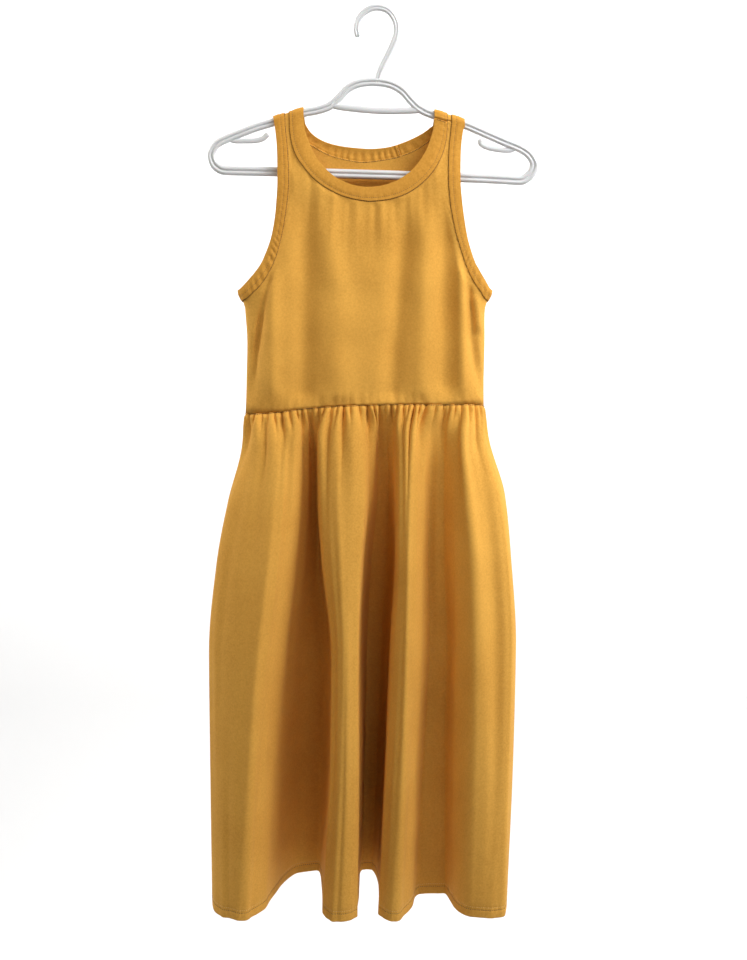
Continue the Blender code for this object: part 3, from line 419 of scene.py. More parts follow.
def to_place(x, height):
    """Place across (-1 to 1) of a point seen at x on the cloth."""
    size = glide(height, BODY_Z, BODY_SIZE)
    across = (x - size[..., 0]) / size[..., 1]
    return np.sign(across) * np.interp(np.abs(across), WIDTH, PLACE)


def ridge(x, forward=0.0):
    """Height on the flat cloth of the shoulder ridge over the arm at x."""
    return arm_height(x) + WRAP * math.pi / 2 - forward


def drawn(rows):
    """Turn rows of x and height in mm into points on the flat cloth."""
    rows = np.array(rows) / 1000
    return np.stack([to_place(rows[:, 0], rows[:, 1]) * HALF_GIRTH, rows[:, 1]], axis=-1)


def shoulder_point(x, forward):
    """Point on the flat cloth of the shoulder seam at x."""
    x = x / 1000
    height = ridge(x, forward)
    return np.array([[float(to_place(np.array(x), np.array(height))) * HALF_GIRTH, height]])


def curve(points, closed=False, steps=12):
    """Fine smooth polyline through points."""
    points = np.asarray(points, float)
    if closed:
        padded = np.concatenate([points[-1:], points, points[:2]])
    else:
        padded = np.concatenate([2 * points[:1] - points[1:2], points, 2 * points[-1:] - points[-2:-1]])
    out = []
    for k in range(1, len(padded) - 2):
        p0, p1, p2, p3 = padded[k - 1:k + 3]
        for s in range(steps):
            t = s / steps
            out.append(0.5 * (2 * p1 + (p2 - p0) * t + (2 * p0 - 5 * p1 + 4 * p2 - p3) * t * t
                              + (3 * p1 - p0 - 3 * p2 + p3) * t ** 3))
    if not closed:
        out.append(points[-1])
    return np.array(out)


def length(line):
    """Distance along a polyline at each of its points."""
    return np.concatenate([[0.0], np.cumsum(np.linalg.norm(np.diff(line, axis=0), axis=1))])


def along(line, distance):
    """Points of a polyline at given distances along it."""
    run = length(line)
    return np.stack([np.interp(distance, run, line[:, k]) for k in range(line.shape[1])], axis=-1)


def neck_line(kind, side):
    """Neck seam or free neck edge from the left shoulder to the right one."""
    rows = {
        ("seam", 1): NECK_SEAM_FRONT, ("edge", 1): NECK_EDGE_FRONT,
        ("seam", -1): NECK_SEAM_BACK, ("edge", -1): NECK_EDGE_BACK,
    }[(kind, side)]
    left, right = SHOULDER["neck_" + kind]
    start = shoulder_point(left, side * SEAM_FORWARD_LEFT)
    end = shoulder_point(right, side * SEAM_FORWARD_RIGHT)
    rows = drawn(rows)
    rows = rows[(rows[:, 0] > 0) | (rows[:, 1] < start[0, 1] - SHOULDER_CLEAR)]
    rows = rows[(rows[:, 0] < 0) | (rows[:, 1] < end[0, 1] - SHOULDER_CLEAR)]
    return curve(np.concatenate([start, rows, end]))


def arm_line(kind, left, side):
    """Armhole seam or free edge from the shoulder down to the side seam."""
    rows = {
        ("seam", True): ARM_SEAM_LEFT, ("edge", True): ARM_EDGE_LEFT,
        ("seam", False): ARM_SEAM_RIGHT, ("edge", False): ARM_EDGE_RIGHT,
    }[(kind, left)]
    x = SHOULDER["arm_" + kind][0 if left else 1]
    forward = SEAM_FORWARD_LEFT if left else SEAM_FORWARD_RIGHT
    start = shoulder_point(x, side * forward)
    low = UNDERARM_SEAM if kind == "seam" else UNDERARM_EDGE
    end = np.array([[(-1 if left else 1) * HALF_GIRTH, low]])
    return curve(np.concatenate([start, drawn(rows), end]))


def crease_lift(x, z, side):
    """Rise of the bodice's creases at x, z."""
    total = np.zeros_like(x)
    for where, x0, z0, x1, z1, half, rise in CREASES:
        if (where == "front") != (side > 0):
            continue
        axis = np.array([x1 - x0, z1 - z0]) / 1000
        span = np.linalg.norm(axis)
        axis = axis / span
        dx = x - x0 / 1000
        dz = z - z0 / 1000
        run = (dx * axis[0] + dz * axis[1]) / span
        off = dx * axis[1] - dz * axis[0]
        fade = smooth(run / CREASE_END_SHARE + 0.5) * smooth((1 - run) / CREASE_END_SHARE + 0.5)
        total += rise / 1000 * np.exp(-(off * 1000 / half) ** 2) * fade
    return total


def left_of(edge, blends=0):
    """Unit vectors to the left of an edge on the flat cloth, blended round its corners."""
    tangent = np.gradient(edge, axis=0)
    normal = np.stack([-tangent[:, 1], tangent[:, 0]], axis=1)
    normal /= np.linalg.norm(normal, axis=1, keepdims=True)
    for _ in range(blends):
        normal[1:-1] = (normal[:-2] + 2 * normal[1:-1] + normal[2:]) / 4
    return normal / np.linalg.norm(normal, axis=1, keepdims=True)


def pull_in(points, amount, edges):
    """Move boundary rows of a grid inwards along the cloth: u0, u1 its first and last, v0, v1 its ends."""
    moved = points.copy()
    for edge in edges:
        first, second = (0, 1) if edge[1] == "0" else (-1, -2)
        if edge[0] == "u":
            row, inner, target = points[first], points[second], moved[first]
        else:
            row, inner, target = points[:, first], points[:, second], moved[:, first]
        tangent = np.gradient(row, axis=0)
        tangent /= np.linalg.norm(tangent, axis=-1, keepdims=True)
        inward = inner - row
        inward = inward - tangent * np.sum(inward * tangent, axis=-1, keepdims=True)
        inward /= np.linalg.norm(inward, axis=-1, keepdims=True)
        target += inward * amount
    return moved


def waist_height(place, side):
    """Height of the waist seam at a place across the body."""
    rows = np.array(WAIST_FRONT if side > 0 else WAIST_BACK)
    return glide(place, rows[:, 0], rows[:, 1] / 1000)


def panel_edges(side):
    """Neck seam and outer edge of a bodice panel, with matching corners."""
    neck = neck_line("seam", side)
    left = arm_line("seam", True, side)
    right = arm_line("seam", False, side)
    low = float(waist_height(np.array(-1.0), side))
    high = float(waist_height(np.array(1.0), side))
    steps = np.linspace(0, 1, SEAM_STEPS + 1)[1:]
    place = np.linspace(-1, 1, WAIST_STEPS + 1)[1:-1]
    edge = np.full_like(steps, HALF_GIRTH)
    outer = np.concatenate([
        along(left, np.linspace(0, length(left)[-1], ARM_STEPS + 1)),
        np.stack([-edge, UNDERARM_SEAM + (low - UNDERARM_SEAM) * steps], axis=-1),
        np.stack([place * HALF_GIRTH, waist_height(place, side)], axis=-1),
        np.stack([edge, UNDERARM_SEAM + (high - UNDERARM_SEAM) * steps], axis=-1)[::-1],
        along(right, np.linspace(0, length(right)[-1], ARM_STEPS + 1))[::-1],
    ])
    total = length(neck)[-1]
    corner = total * NECK_CORNER
    turn = total * NECK_TURN
    near = np.concatenate([
        np.linspace(0, turn, ARM_STEPS + 1), np.linspace(turn, corner, SEAM_STEPS + 1)[1:],
    ])
    middle = np.linspace(corner, total - corner, WAIST_STEPS + 1)[1:-1]
    inner = along(neck, np.concatenate([near, middle, total - near[::-1]]))
    return inner, outer


def fill_panel(inner, outer):
    """Lay an even grid on the flat cloth between the neck seam and the outer edges of a panel."""
    reach = np.linalg.norm(outer - inner, axis=1, keepdims=True)
    leave = (-left_of(inner) * reach * RULING_BEND)[:, None, :]
    arrive = (-left_of(outer, CORNER_BLENDS) * reach * RULING_BEND)[:, None, :]
    t = np.linspace(0, 1, FILL_ROWS + 1)[None, :, None]
    flat = (inner[:, None, :] * (1 + 2 * t) * (1 - t) ** 2 + outer[:, None, :] * t * t * (3 - 2 * t)
            + leave * t * (1 - t) ** 2 - arrive * t * t * (1 - t))
    for _ in range(FILL_ROUNDS):
        du = (flat[2:, 1:-1] - flat[:-2, 1:-1]) / 2
        dv = (flat[1:-1, 2:] - flat[1:-1, :-2]) / 2
        a = np.sum(dv * dv, axis=-1, keepdims=True)
        b = np.sum(du * dv, axis=-1, keepdims=True)
        c = np.sum(du * du, axis=-1, keepdims=True)
        cross = flat[2:, 2:] - flat[:-2, 2:] - flat[2:, :-2] + flat[:-2, :-2]
        target = (a * (flat[2:, 1:-1] + flat[:-2, 1:-1]) + c * (flat[1:-1, 2:] + flat[1:-1, :-2])
                  - b * cross / 2) / (2 * (a + c) + 1e-15)
        flat[1:-1, 1:-1] += FILL_STEP * (target - flat[1:-1, 1:-1])
    spots = np.linspace(0, FILL_ROWS, PANEL_ROWS + 1)
    low = np.clip(spots.astype(int), 0, FILL_ROWS - 1)
    part = (spots - low)[None, :, None]
    return flat[:, low] * (1 - part) + flat[:, low + 1] * part


def normals(points, closed=False):
    """Unit normals of a grid of points."""
    if closed:
        ring = np.concatenate([points[-2:-1], points, points[1:2]])
        across = ring[2:] - ring[:-2]
    else:
        across = np.gradient(points, axis=0)
    normal = np.cross(across, np.gradient(points, axis=1))
    return normal / np.maximum(np.linalg.norm(normal, axis=-1, keepdims=True), 1e-12)


def soft_noise(x, z, scale, seed):
    """Smooth seeded waves of about one, a given size across."""
    rng = np.random.default_rng(seed)
    total = np.zeros_like(x)
    for _ in range(7):
        turn = rng.uniform(-0.5, 0.5) + math.pi / 2 * rng.integers(0, 2)
        size = scale * rng.uniform(0.7, 1.6)
        run = x * math.cos(turn) + z * math.sin(turn)
        total += np.sin(2 * math.pi * run / size + rng.uniform(0, 6.3))
    return total / 2.6


def new_piece(name, mesh, look):
    """Put a finished mesh with its material into the scene."""
    mesh.shade_smooth()
    mesh.materials.append(look)
    piece = bpy.data.objects.new(name, mesh)
    bpy.context.scene.collection.objects.link(piece)
    return piece


def grid_object(name, points, look, wall=0.0, flat=None, closed=False, even=False, round_edge=0.0):
    """Make a piece from a grid of points, with its place on the flat cloth as a UV map."""
    across, down = points.shape[0] - 1, points.shape[1] - 1
    mesh = bpy.data.meshes.new(name)
    bm = bmesh.new()
    bmesh.ops.create_grid(bm, x_segments=across, y_segments=down, size=0.5)
    layer = bm.loops.layers.uv.new("cloth")
    spots = {}
    for vert in bm.verts:
        i = round((vert.co.x + 0.5) * across)
        j = round((vert.co.y + 0.5) * down)
        spots[vert] = (i, j)
        vert.co = points[i, j]
    if flat is None:
        run = np.cumsum(np.linalg.norm(np.diff(points, axis=0, prepend=points[:1]), axis=-1), axis=0)
        drop = np.cumsum(np.linalg.norm(np.diff(points, axis=1, prepend=points[:, :1]), axis=-1), axis=1)
        flat = np.stack([run, -drop], axis=-1)
    for face in bm.faces:
        for loop in face.loops:
            loop[layer].uv = flat[spots[loop.vert]]
    if closed:
        bmesh.ops.remove_doubles(bm, verts=bm.verts, dist=0.00002)
    bmesh.ops.recalc_face_normals(bm, faces=bm.faces)
    bm.to_mesh(mesh)
    bm.free()
    piece = new_piece(name, mesh, look)
    if wall:
        thick = piece.modifiers.new("wall", "SOLIDIFY")
        thick.thickness = wall
        thick.offset = 0.0
        thick.use_even_offset = even
        thick.use_quality_normals = True
    if round_edge:
        edge = piece.modifiers.new("round edge", "BEVEL")
        edge.width = round_edge
        edge.segments = 3
        edge.limit_method = "ANGLE"
        edge.angle_limit = math.radians(50)
    return piece


def attach(piece, node=None):
    """Let a piece ride on the body and stand in for its CAD node, which it hides."""
    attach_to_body(piece, "root")
    if node:
        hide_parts(node)
    return piece


# Node helpers for the materials


def add(tree, kind, links=(), **values):
    """Add a node, set its values and link its inputs."""
    node = tree.nodes.new(kind)
    for key, value in values.items():
        setattr(node, key, value)
    for socket, source in links:
        if hasattr(source, "default_value") or hasattr(source, "links"):
            tree.links.new(source, node.inputs[socket])
        else:
            node.inputs[socket].default_value = source
    return node


def maths(tree, operation, first, second=0.0):
    """Add a Math node and give its result."""
    return add(tree, "ShaderNodeMath", ((0, first), (1, second)), operation=operation).outputs[0]


def new_look(name):
    """Start a material; give it, its nodes, its shader and the place on the object."""
    look = bpy.data.materials.new(name)
    look.use_nodes = True
    tree = look.node_tree
    place = add(tree, "ShaderNodeTexCoord").outputs["Object"]
    return look, tree, tree.nodes["Principled BSDF"], place


def noise(tree, place, scale, detail=2.0):
    """Add a Noise Texture node and give its value."""
    values = (("Vector", place), ("Scale", scale), ("Detail", detail))
    return add(tree, "ShaderNodeTexNoise", values).outputs["Fac"]


def bump(tree, height, strength, distance, under=None):
    """Add a Bump node, over another one's normal if there is one, and give its normal."""
    values = [("Height", height), ("Strength", strength), ("Distance", distance)]
    if under is not None:
        values.append(("Normal", under))
    return add(tree, "ShaderNodeBump", values).outputs[0]


def two_tone(tree, shader, factor, dark, light, low=0.0, high=1.0):
    """Colour a shader between two tones."""
    ramp = add(tree, "ShaderNodeValToRGB", ((0, factor),))
    for element, position, tone in zip(ramp.color_ramp.elements, (low, high), (dark, light)):
        element.position = position
        element.color = (*tone, 1.0)
    tree.links.new(ramp.outputs[0], shader.inputs["Base Color"])


def shaded(colour, *shares):
    """A colour with its channels multiplied by one share each, or all by the same."""
    shares = shares * 3 if len(shares) == 1 else shares
    return [min(1.0, channel * share) for channel, share in zip(colour, shares)]


def jersey(name, colour, settings, fuzz=1.0):
    """Knitted cotton jersey: upright wales of small loops, slight unevenness of the dye, a soft nap."""
    look, tree, shader, place = new_look(name)
    uv = add(tree, "ShaderNodeUVMap", uv_map="cloth").outputs[0]
    split = add(tree, "ShaderNodeSeparateXYZ", ((0, uv),))
    wale = maths(tree, "MULTIPLY", split.outputs[0], 1.0 / settings.wale)
    course = maths(tree, "MULTIPLY", split.outputs[1], 1.0 / settings.course)
    saw = maths(tree, "PINGPONG", wale, 0.5)
    loops = maths(tree, "SINE", maths(tree, "MULTIPLY", maths(tree, "ADD", course, saw), 2 * math.pi))
    rib = maths(tree, "SINE", maths(tree, "MULTIPLY", saw, 2 * math.pi))
    knit = maths(tree, "ADD", maths(tree, "MULTIPLY", rib, 0.6), maths(tree, "MULTIPLY", loops, 0.4))
    nap = noise(tree, place, 900.0, 3.0)
    crumple = noise(tree, place, 70.0, 4.0)
    dye = noise(tree, place, 9.0)
    fleck = noise(tree, place, 420.0)
    tone = maths(tree, "ADD", maths(tree, "MULTIPLY", dye, 0.45), maths(tree, "MULTIPLY", fleck, 0.55))
    dark, light = shaded(colour, 0.84, 0.78, 0.70), shaded(colour, 1.07, 1.10, 1.16)
    two_tone(tree, shader, tone, dark, light, 0.30, 0.72)
    crumpled = bump(tree, crumple, 0.35 * fuzz, 0.0012)
    napped = bump(tree, nap, 0.30, 0.0005, crumpled)
    knitted = bump(tree, knit, 0.40, 0.00022, napped)
    tree.links.new(knitted, shader.inputs["Normal"])
    shader.inputs["Roughness"].default_value = 0.88
    shader.inputs["Specular IOR Level"].default_value = 0.15
    shader.inputs["Sheen Weight"].default_value = 0.05
    shader.inputs["Sheen Roughness"].default_value = 0.45
    shader.inputs["Sheen Tint"].default_value = (1.0, 0.80, 0.45, 1.0)
    return look


def sewing_thread(name, colour):
    """Spun sewing thread with a slight shine."""
    look, tree, shader, place = new_look(name)
    twist = noise(tree, place, 1500.0)
    two_tone(tree, shader, twist, shaded(colour, 0.7), shaded(colour, 1.1))
    tree.links.new(bump(tree, twist, 0.4, 0.0002), shader.inputs["Normal"])
    shader.inputs["Roughness"].default_value = 0.6
    return look


def moulded_plastic(name, colour):
    """White moulded plastic with faint flow marks and fine scuffs."""
    look, tree, shader, place = new_look(name)
    flow = noise(tree, place, 35.0, 3.0)
    scuff = noise(tree, place, 600.0, 4.0)
    two_tone(tree, shader, flow, shaded(colour, 0.90), shaded(colour, 1.03))
    gloss = add(tree, "ShaderNodeMapRange", (("Value", scuff), ("To Min", 0.14), ("To Max", 0.28)))
    tree.links.new(gloss.outputs[0], shader.inputs["Roughness"])
    tree.links.new(bump(tree, scuff, 0.12, 0.0003), shader.inputs["Normal"])
    shader.inputs["IOR"].default_value = 1.49
    shader.inputs["Subsurface Weight"].default_value = 0.08
    shader.inputs["Subsurface Scale"].default_value = 0.002
    return look


# Settings


class DRESS_PG_cloth(bpy.types.PropertyGroup):
    """Cloth, thread and knit of the dress."""

    colour: FloatVectorProperty(
        name="Cloth colour", description="Dyed colour of the jersey", subtype="COLOR", size=3,
        default=(0.79, 0.402, 0.070), min=0, max=1)
    # Thread colour: darker than the cloth, so the stitch rows read as dark lines; the darkness is painted
    # shade of the stitch grooves
    thread: FloatVectorProperty(
        name="Thread colour", description="Colour of the sewing thread", subtype="COLOR", size=3,
        default=(0.34, 0.155, 0.03), min=0, max=1)
    # Seam colour: a real seam thread whose dark brown colour is painted shade of the seam crevices
    seam: FloatVectorProperty(
        name="Seam colour", description="Colour of the thread down in the seams", subtype="COLOR", size=3,
        default=(0.22, 0.085, 0.014), min=0, max=1)
    wale: FloatProperty(
        name="Wale width", description="Width of one upright row of knitted loops",
        default=0.0011, unit="LENGTH", precision=5)
    course: FloatProperty(
        name="Course height", description="Height of one knitted loop",
        default=0.0009, unit="LENGTH", precision=5)
    wrinkle: FloatProperty(
        name="Wrinkle depth", description="Depth of the soft wrinkles in the bodice",
        default=0.0005, unit="LENGTH", precision=5)


class DRESS_PG_skirt(bpy.types.PropertyGroup):
    """Gathers and hem of the skirt."""

    gathers_front: IntProperty(
        name="Front gathers", description="Small gathers along the front waist", default=41)
    gathers_back: IntProperty(
        name="Back gathers", description="Small gathers along the back waist", default=38)
    gather_depth: FloatProperty(
        name="Gather depth", description="Height of the small gathers below the waist",
        default=0.0030, unit="LENGTH", precision=4)
    gather_run: FloatProperty(
        name="Gather run", description="Length over which the small gathers fade into the folds",
        default=0.075, unit="LENGTH", precision=4)
    ripple: FloatProperty(
        name="Ripple depth", description="Depth of the long soft ripples between the folds",
        default=0.0011, unit="LENGTH", precision=4)
    hem_low: FloatProperty(
        name="Lower stitch row", description="Lower row of stitches above the hem's edge",
        default=0.0110, unit="LENGTH", precision=4)
    hem_high: FloatProperty(
        name="Upper stitch row", description="Upper row of stitches above the hem's edge",
        default=0.0146, unit="LENGTH", precision=4)
    stitch: FloatProperty(
        name="Stitch length", description="Distance from one stitch to the next",
        default=0.0031, unit="LENGTH", precision=5)


class DRESS_PG_hanger(bpy.types.PropertyGroup):
    """Moulded hanger."""

    colour: FloatVectorProperty(
        name="Plastic colour", description="Colour of the moulded plastic", subtype="COLOR", size=3,
        default=(0.73, 0.73, 0.735), min=0, max=1)
    groove: FloatProperty(
        name="Groove depth", description="Depth of the groove along both faces of the rod",
        default=0.54, min=0, max=0.6, subtype="FACTOR")


class DRESS_PG_stage(bpy.types.PropertyGroup):
    """Floor, wall and lights."""

    floor: FloatProperty(
        name="Floor height", description="Height of the floor", default=-2.3, unit="LENGTH")
    wall: FloatProperty(
        name="Wall distance", description="Distance of the wall behind the dress", default=2.2, unit="LENGTH")
    key: FloatProperty(
        name="Right lights", description="Power of the lights on the right", default=53.0, unit="POWER")
    fill: FloatProperty(
        name="Left light", description="Power of the light on the left", default=14.0, unit="POWER")
    back: FloatProperty(
        name="Backdrop lights", description="Power of the lights on the wall", default=48.0, unit="POWER")
    room: FloatProperty(
        name="Room light", description="Strength of the light from all round", default=0.015)


# Pieces


def panel_points(side, cloth):
    """Fine points of a bodice panel and their places on the flat cloth."""
    inner, outer = panel_edges(side)
    flat = fill_panel(inner, outer)
    place, height = flat[..., 0] / HALF_GIRTH, flat[..., 1]
    points = drape(place, height, side)
    x, z = points[..., 0], points[..., 2]
    to_side = np.minimum(HALF_GIRTH - np.abs(flat[..., 0]), 1.0)
    t = np.linspace(0, 1, flat.shape[1])
    edge = np.minimum(t, 1 - t)[None, :] * np.linalg.norm(outer - inner, axis=1)[:, None]
    calm = smooth((-height - CREASES_FROM) / CREASES_EASE) * smooth(to_side / CREASES_SIDE_EASE)
    lift = calm * smooth(edge / CREASES_EDGE_EASE) * crease_lift(x, z, side)
    side_ease = smooth(to_side / WRINKLES_EDGE_EASE)
    ease = smooth((-height - WRINKLES_FROM) / WRINKLES_EASE) * side_ease
    wrinkles = soft_noise(x, z, WRINKLE_SIZE, 3 + side)
    lift += ease * cloth.wrinkle * wrinkles * smooth(edge / WRINKLES_EDGE_EASE)

    above = height - waist_height(place, side)
    pucker = np.cos(2 * math.pi * (x / PUCKER_BEAT + 0.4 * np.sin(x * 61) + 0.3 * np.sin(x * 143)))
    spread = np.exp(-((above - PUCKER_MIDDLE) / PUCKER_SPREAD) ** 2)
    lift += PUCKER * pucker * spread * smooth(above / 0.002) * side_ease
    if side > 0:
        neck_gap = np.linalg.norm(flat - flat[:, :1], axis=-1)
        for across, depth in NECK_FOLDS:
            lean = across / 1000 * (1 + neck_gap * 1.2)
            fall = smooth(neck_gap / 0.006) * np.exp(-(neck_gap / NECK_FOLD_RUN) ** 2)
            lift += depth / 1000 * np.exp(-((x - lean) / NECK_FOLD_HALF) ** 2) * fall

    arm_gap = np.linalg.norm(flat - flat[:, -1:], axis=-1)
    at_edge = flat[:, -1:]
    on_arm = smooth((at_edge[..., 1] + 0.352) / 0.02) * (np.abs(at_edge[..., 0]) < HALF_GIRTH - 0.004)
    run = length(outer)[:, None]
    pull = np.cos(2 * math.pi * run / ARM_PULL_BEAT + 2 * np.sin(run * 70))
    spread = np.exp(-((arm_gap - ARM_PULL_MIDDLE) / ARM_PULL_SPREAD) ** 2)
    lift += ARM_PULL * pull * on_arm * spread * smooth(arm_gap / 0.003)
    points[..., 1] -= side * lift
    return points, flat


def band_points(kind, left=True):
    """Ring of points of a neckband or armband from its seam to its free edge."""
    halves = []
    for side in (1, -1):
        if kind == "neck":
            seam, edge = neck_line("seam", side), neck_line("edge", side)
        else:
            seam, edge = arm_line("seam", left, side), arm_line("edge", left, side)
        t = np.linspace(0, 1, NECK_SAMPLES if kind == "neck" else ARM_SAMPLES)
        a = along(seam, t * length(seam)[-1])
        b = along(edge, t * length(edge)[-1])
        v = np.linspace(0, 1, BAND_ROWS + 1)[None, :, None]
        flat = a[:, None] * (1 - v) + b[:, None] * v
        halves.append(drape(flat[..., 0] / HALF_GIRTH, flat[..., 1], side))
    return np.concatenate([halves[0], halves[1][::-1][1:]])


def nearest(line, place):
    """Number of the point of a line nearest a place in mm."""
    return int(np.argmin(np.linalg.norm(line - np.array(place) / 1000, axis=-1)))


def finish_band(points, inside, seams, ripples, row):
    """Lift a band off the body, round it, and press in its stitches and joins."""
    points = pull_in(points, SEAM_GAP / 2, ["v0"])
    normal = normals(points, closed=True)
    normal = normal * np.sign(np.mean(np.sum(normal * (points - inside), axis=-1)))
    middle = points[:, BAND_MIDDLE]
    v = np.linspace(0, 1, BAND_ROWS + 1)[None, :]
    run = length(points[:, -1])[:, None]
    lift = BAND_LIFT + BAND_CROWN * np.sin(math.pi * np.clip(v * 1.04, 0, 1))
    lift = lift - STITCH_DENT * np.exp(-((v - row) / STITCH_DENT_HALF) ** 2)
    beat = run / BAND_RIPPLE_BEAT + 0.35 * np.sin(run * 47) + 0.25 * np.sin(run * 113 + 1)
    wave = np.cos(2 * math.pi * beat)
    back = smooth(middle[:, 1] / 0.004 + 0.5)[:, None]
    ripple = ripples[0] * (1 - back) + ripples[1] * back
    ripple = ripple * (1 + 2.5 * smooth((ARMBAND_RIPPLES_GROW - middle[:, 2:]) / 0.03))
    lift = lift + ripple * wave * np.exp(-((v - BAND_RIPPLE_MIDDLE) / BAND_RIPPLE_MIDDLE) ** 2)
    for place, depth, half in seams:
        gap = (run - run[nearest(middle, place)]) * 1000
        beside = np.exp(-((gap - 2.6 * half) / half) ** 2)
        lift = lift - depth / 1000 * np.exp(-(gap / half) ** 2) + depth / 1500 * beside
    moved = points + normal * lift[..., None]
    moved[-1] = moved[0]
    return moved, normal


def skirt_rows(settings):
    """Places of the skirt's rows down the cloth (0 to 1), closer together at the waist and the hem."""
    above = np.array([0.0, 0.0015, 0.004, 0.0075, 0.0095, settings.hem_low, 0.0122, 0.0134,
                      settings.hem_high, 0.0158, 0.019, 0.027])
    hem = 1 - above[::-1] / SKIRT_DROP
    gathered, eased = 0.04, 0.17
    return np.concatenate([
        np.linspace(0, gathered, 15), np.linspace(gathered, eased, 22)[1:],
        np.linspace(eased, hem[0], 46)[1:], hem[1:],
    ])


def gather_swell(side, u, drop, ends, settings):
    """Height of the gathers below the waist: fine short ones over coarse long ones."""
    gathers = settings.gathers_front if side > 0 else settings.gathers_back
    swell = np.zeros_like(drop)
    for share, size, reach, sharp, seed in GATHERS:
        rng = np.random.default_rng(seed + side)
        beat = share * gathers * u + 0.30 * np.sin(2 * math.pi * 3.1 * u + 1.0 + side + seed)
        beat = beat + 0.16 * np.sin(2 * math.pi * 7.3 * u)
        slots = np.arange(int(share * gathers) + 4)
        spot = np.clip(beat + 1, 0, slots[-1])
        longer = np.interp(spot, slots, rng.uniform(0.5, 1.5, len(slots)))[:, None]
        taller = np.interp(spot, slots, rng.uniform(0.65, 1.25, len(slots)))[:, None]
        fade = np.exp(-(drop / (settings.gather_run * reach * longer)) ** 1.5)
        crest = 2 * np.sqrt(np.cos(math.pi * beat) ** 2 + sharp)[:, None] ** 0.8 - 1.2
        start = smooth(drop / (0.025 * reach)) * 0.6 + 0.4
        swell += settings.gather_depth * size * taller * start * crest * fade * ends
    if side > 0:
        for hollow in NARROW_HOLLOWS:
            swell *= 1 - 0.6 * np.exp(-((u[:, None] - hollow) / HOLLOW_HALF) ** 2)
    return swell


def skirt_points(side, settings, columns):
    """Fine points of a gathered skirt panel, their outward ways, and its two stitched rows."""
    folds = FRONT_FOLDS if side > 0 else BACK_FOLDS
    u = np.linspace(0, 1, columns + 1)
    place = -1 + 2 * u
    top_z = waist_height(place, side)
    levels = [drape(place, top_z, side)[:, :2]]
    lines = np.array([row[1] for row in folds])
    for k in range(len(FOLD_HEIGHTS)):
        levels.append(glide(u, lines, np.array([row[2 + k] for row in folds]) / 1000))
    knots = np.concatenate([[0.0], (SKIRT_TOP - np.array(FOLD_HEIGHTS) / 1000) / (SKIRT_TOP - HEM_Z)])
    rows = skirt_rows(settings)
    xy = np.swapaxes(glide(rows, knots, np.stack(levels)), 0, 1)
    z = top_z[:, None] + (HEM_Z - top_z[:, None]) * rows[None, :]
    points = np.concatenate([xy, z[..., None]], axis=-1)
    tangent = np.gradient(points[..., :2], axis=0)
    tangent /= np.linalg.norm(tangent, axis=-1, keepdims=True)
    outward = np.stack([tangent[..., 1], -tangent[..., 0]], axis=-1) * side
    drop = top_z[:, None] - z
    ends = smooth(np.minimum(u, 1 - u) * 15)[:, None]
    swell = gather_swell(side, u, drop, ends, settings)

    across = u[:, None]
    t = np.clip(drop / SKIRT_DROP, 0, 1)
    ripple = np.zeros_like(z)
    for count, size, drift, phase in RIPPLES:
        ripple += size * np.sin(2 * math.pi * count * across + phase + side + drift * t * 2)
    ripple *= settings.ripple * smooth(drop / 0.07) * ends

    above = z - HEM_Z
    heights = (settings.hem_low, settings.hem_high)
    press = sum(np.exp(-((above - height) / HEM_DENT_HALF) ** 2) for height in heights)
    pull = np.cos(2 * math.pi * (across * HEM_PULLS + 0.4 * np.sin(across * 71)))
    hem_lift = -HEM_DENT * press + HEM_PULL * pull * np.exp(-((above - 0.0125) / 0.006) ** 2)
    tuck = TUCK * (1 - smooth(drop / 0.0035))
    points[..., :2] += outward * (swell + ripple + hem_lift * ends - tuck)[..., None]
    points[..., 2] += HEM_WAVE * np.sin(2 * math.pi * 9 * u + 1.0)[:, None] * smooth(1 - above / 0.05)
    stitched = [int(np.argmin(np.abs(rows - (1 - height / SKIRT_DROP)))) for height in heights]
    return points, outward, stitched


def row_inside(points, normal, outer):
    """Line of stitches a set distance inside the neck seam or the outer edge of a panel."""
    grid = points[:, ::-1] if outer else points
    away = normal[:, ::-1] if outer else normal
    line = np.array([along(column, np.array([STITCH_INSET]))[0] for column in grid])
    return line, away[:, 1]


def stitch_rows(name, rows, look, step, size):
    """Lay short stitches along lines; each line is its points and the directions out of the cloth."""
    # The stitches are made in small patches, because one bmesh for all of them is slow
    patch_stitches = 40
    mesh = bpy.data.meshes.new(name)
    patch = bpy.data.meshes.new(name + "_patch")
    whole = bmesh.new()
    for line, out in rows:
        run = length(line)
        middles = (np.arange(int(run[-1] / step)) + 0.5) * step
        here = along(line, middles)
        way = along(line, middles + step * 0.3) - along(line, middles - step * 0.3)
        away = np.stack([np.interp(middles, run, out[:, c]) for c in range(3)], axis=-1)
        for start in range(0, len(middles), patch_stitches):
            bm = bmesh.new()
            for k in range(start, min(start + patch_stitches, len(middles))):
                ahead = Vector(way[k]).normalized()
                up = Vector(away[k])
                up = (up - ahead * up.dot(ahead)).normalized()
                axes = (ahead * step * 0.36, ahead.cross(up) * size, up * size * 0.7)
                turn = Matrix(axes).transposed().to_4x4()
                turn.translation = Vector(here[k])
                bmesh.ops.create_uvsphere(bm, u_segments=6, v_segments=4, radius=1.0, matrix=turn)
            bmesh.ops.recalc_face_normals(bm, faces=bm.faces)
            bm.to_mesh(patch)
            bm.free()
            whole.from_mesh(patch)
    whole.to_mesh(mesh)
    whole.free()
    bpy.data.meshes.remove(patch)
    return new_piece(name, mesh, look)


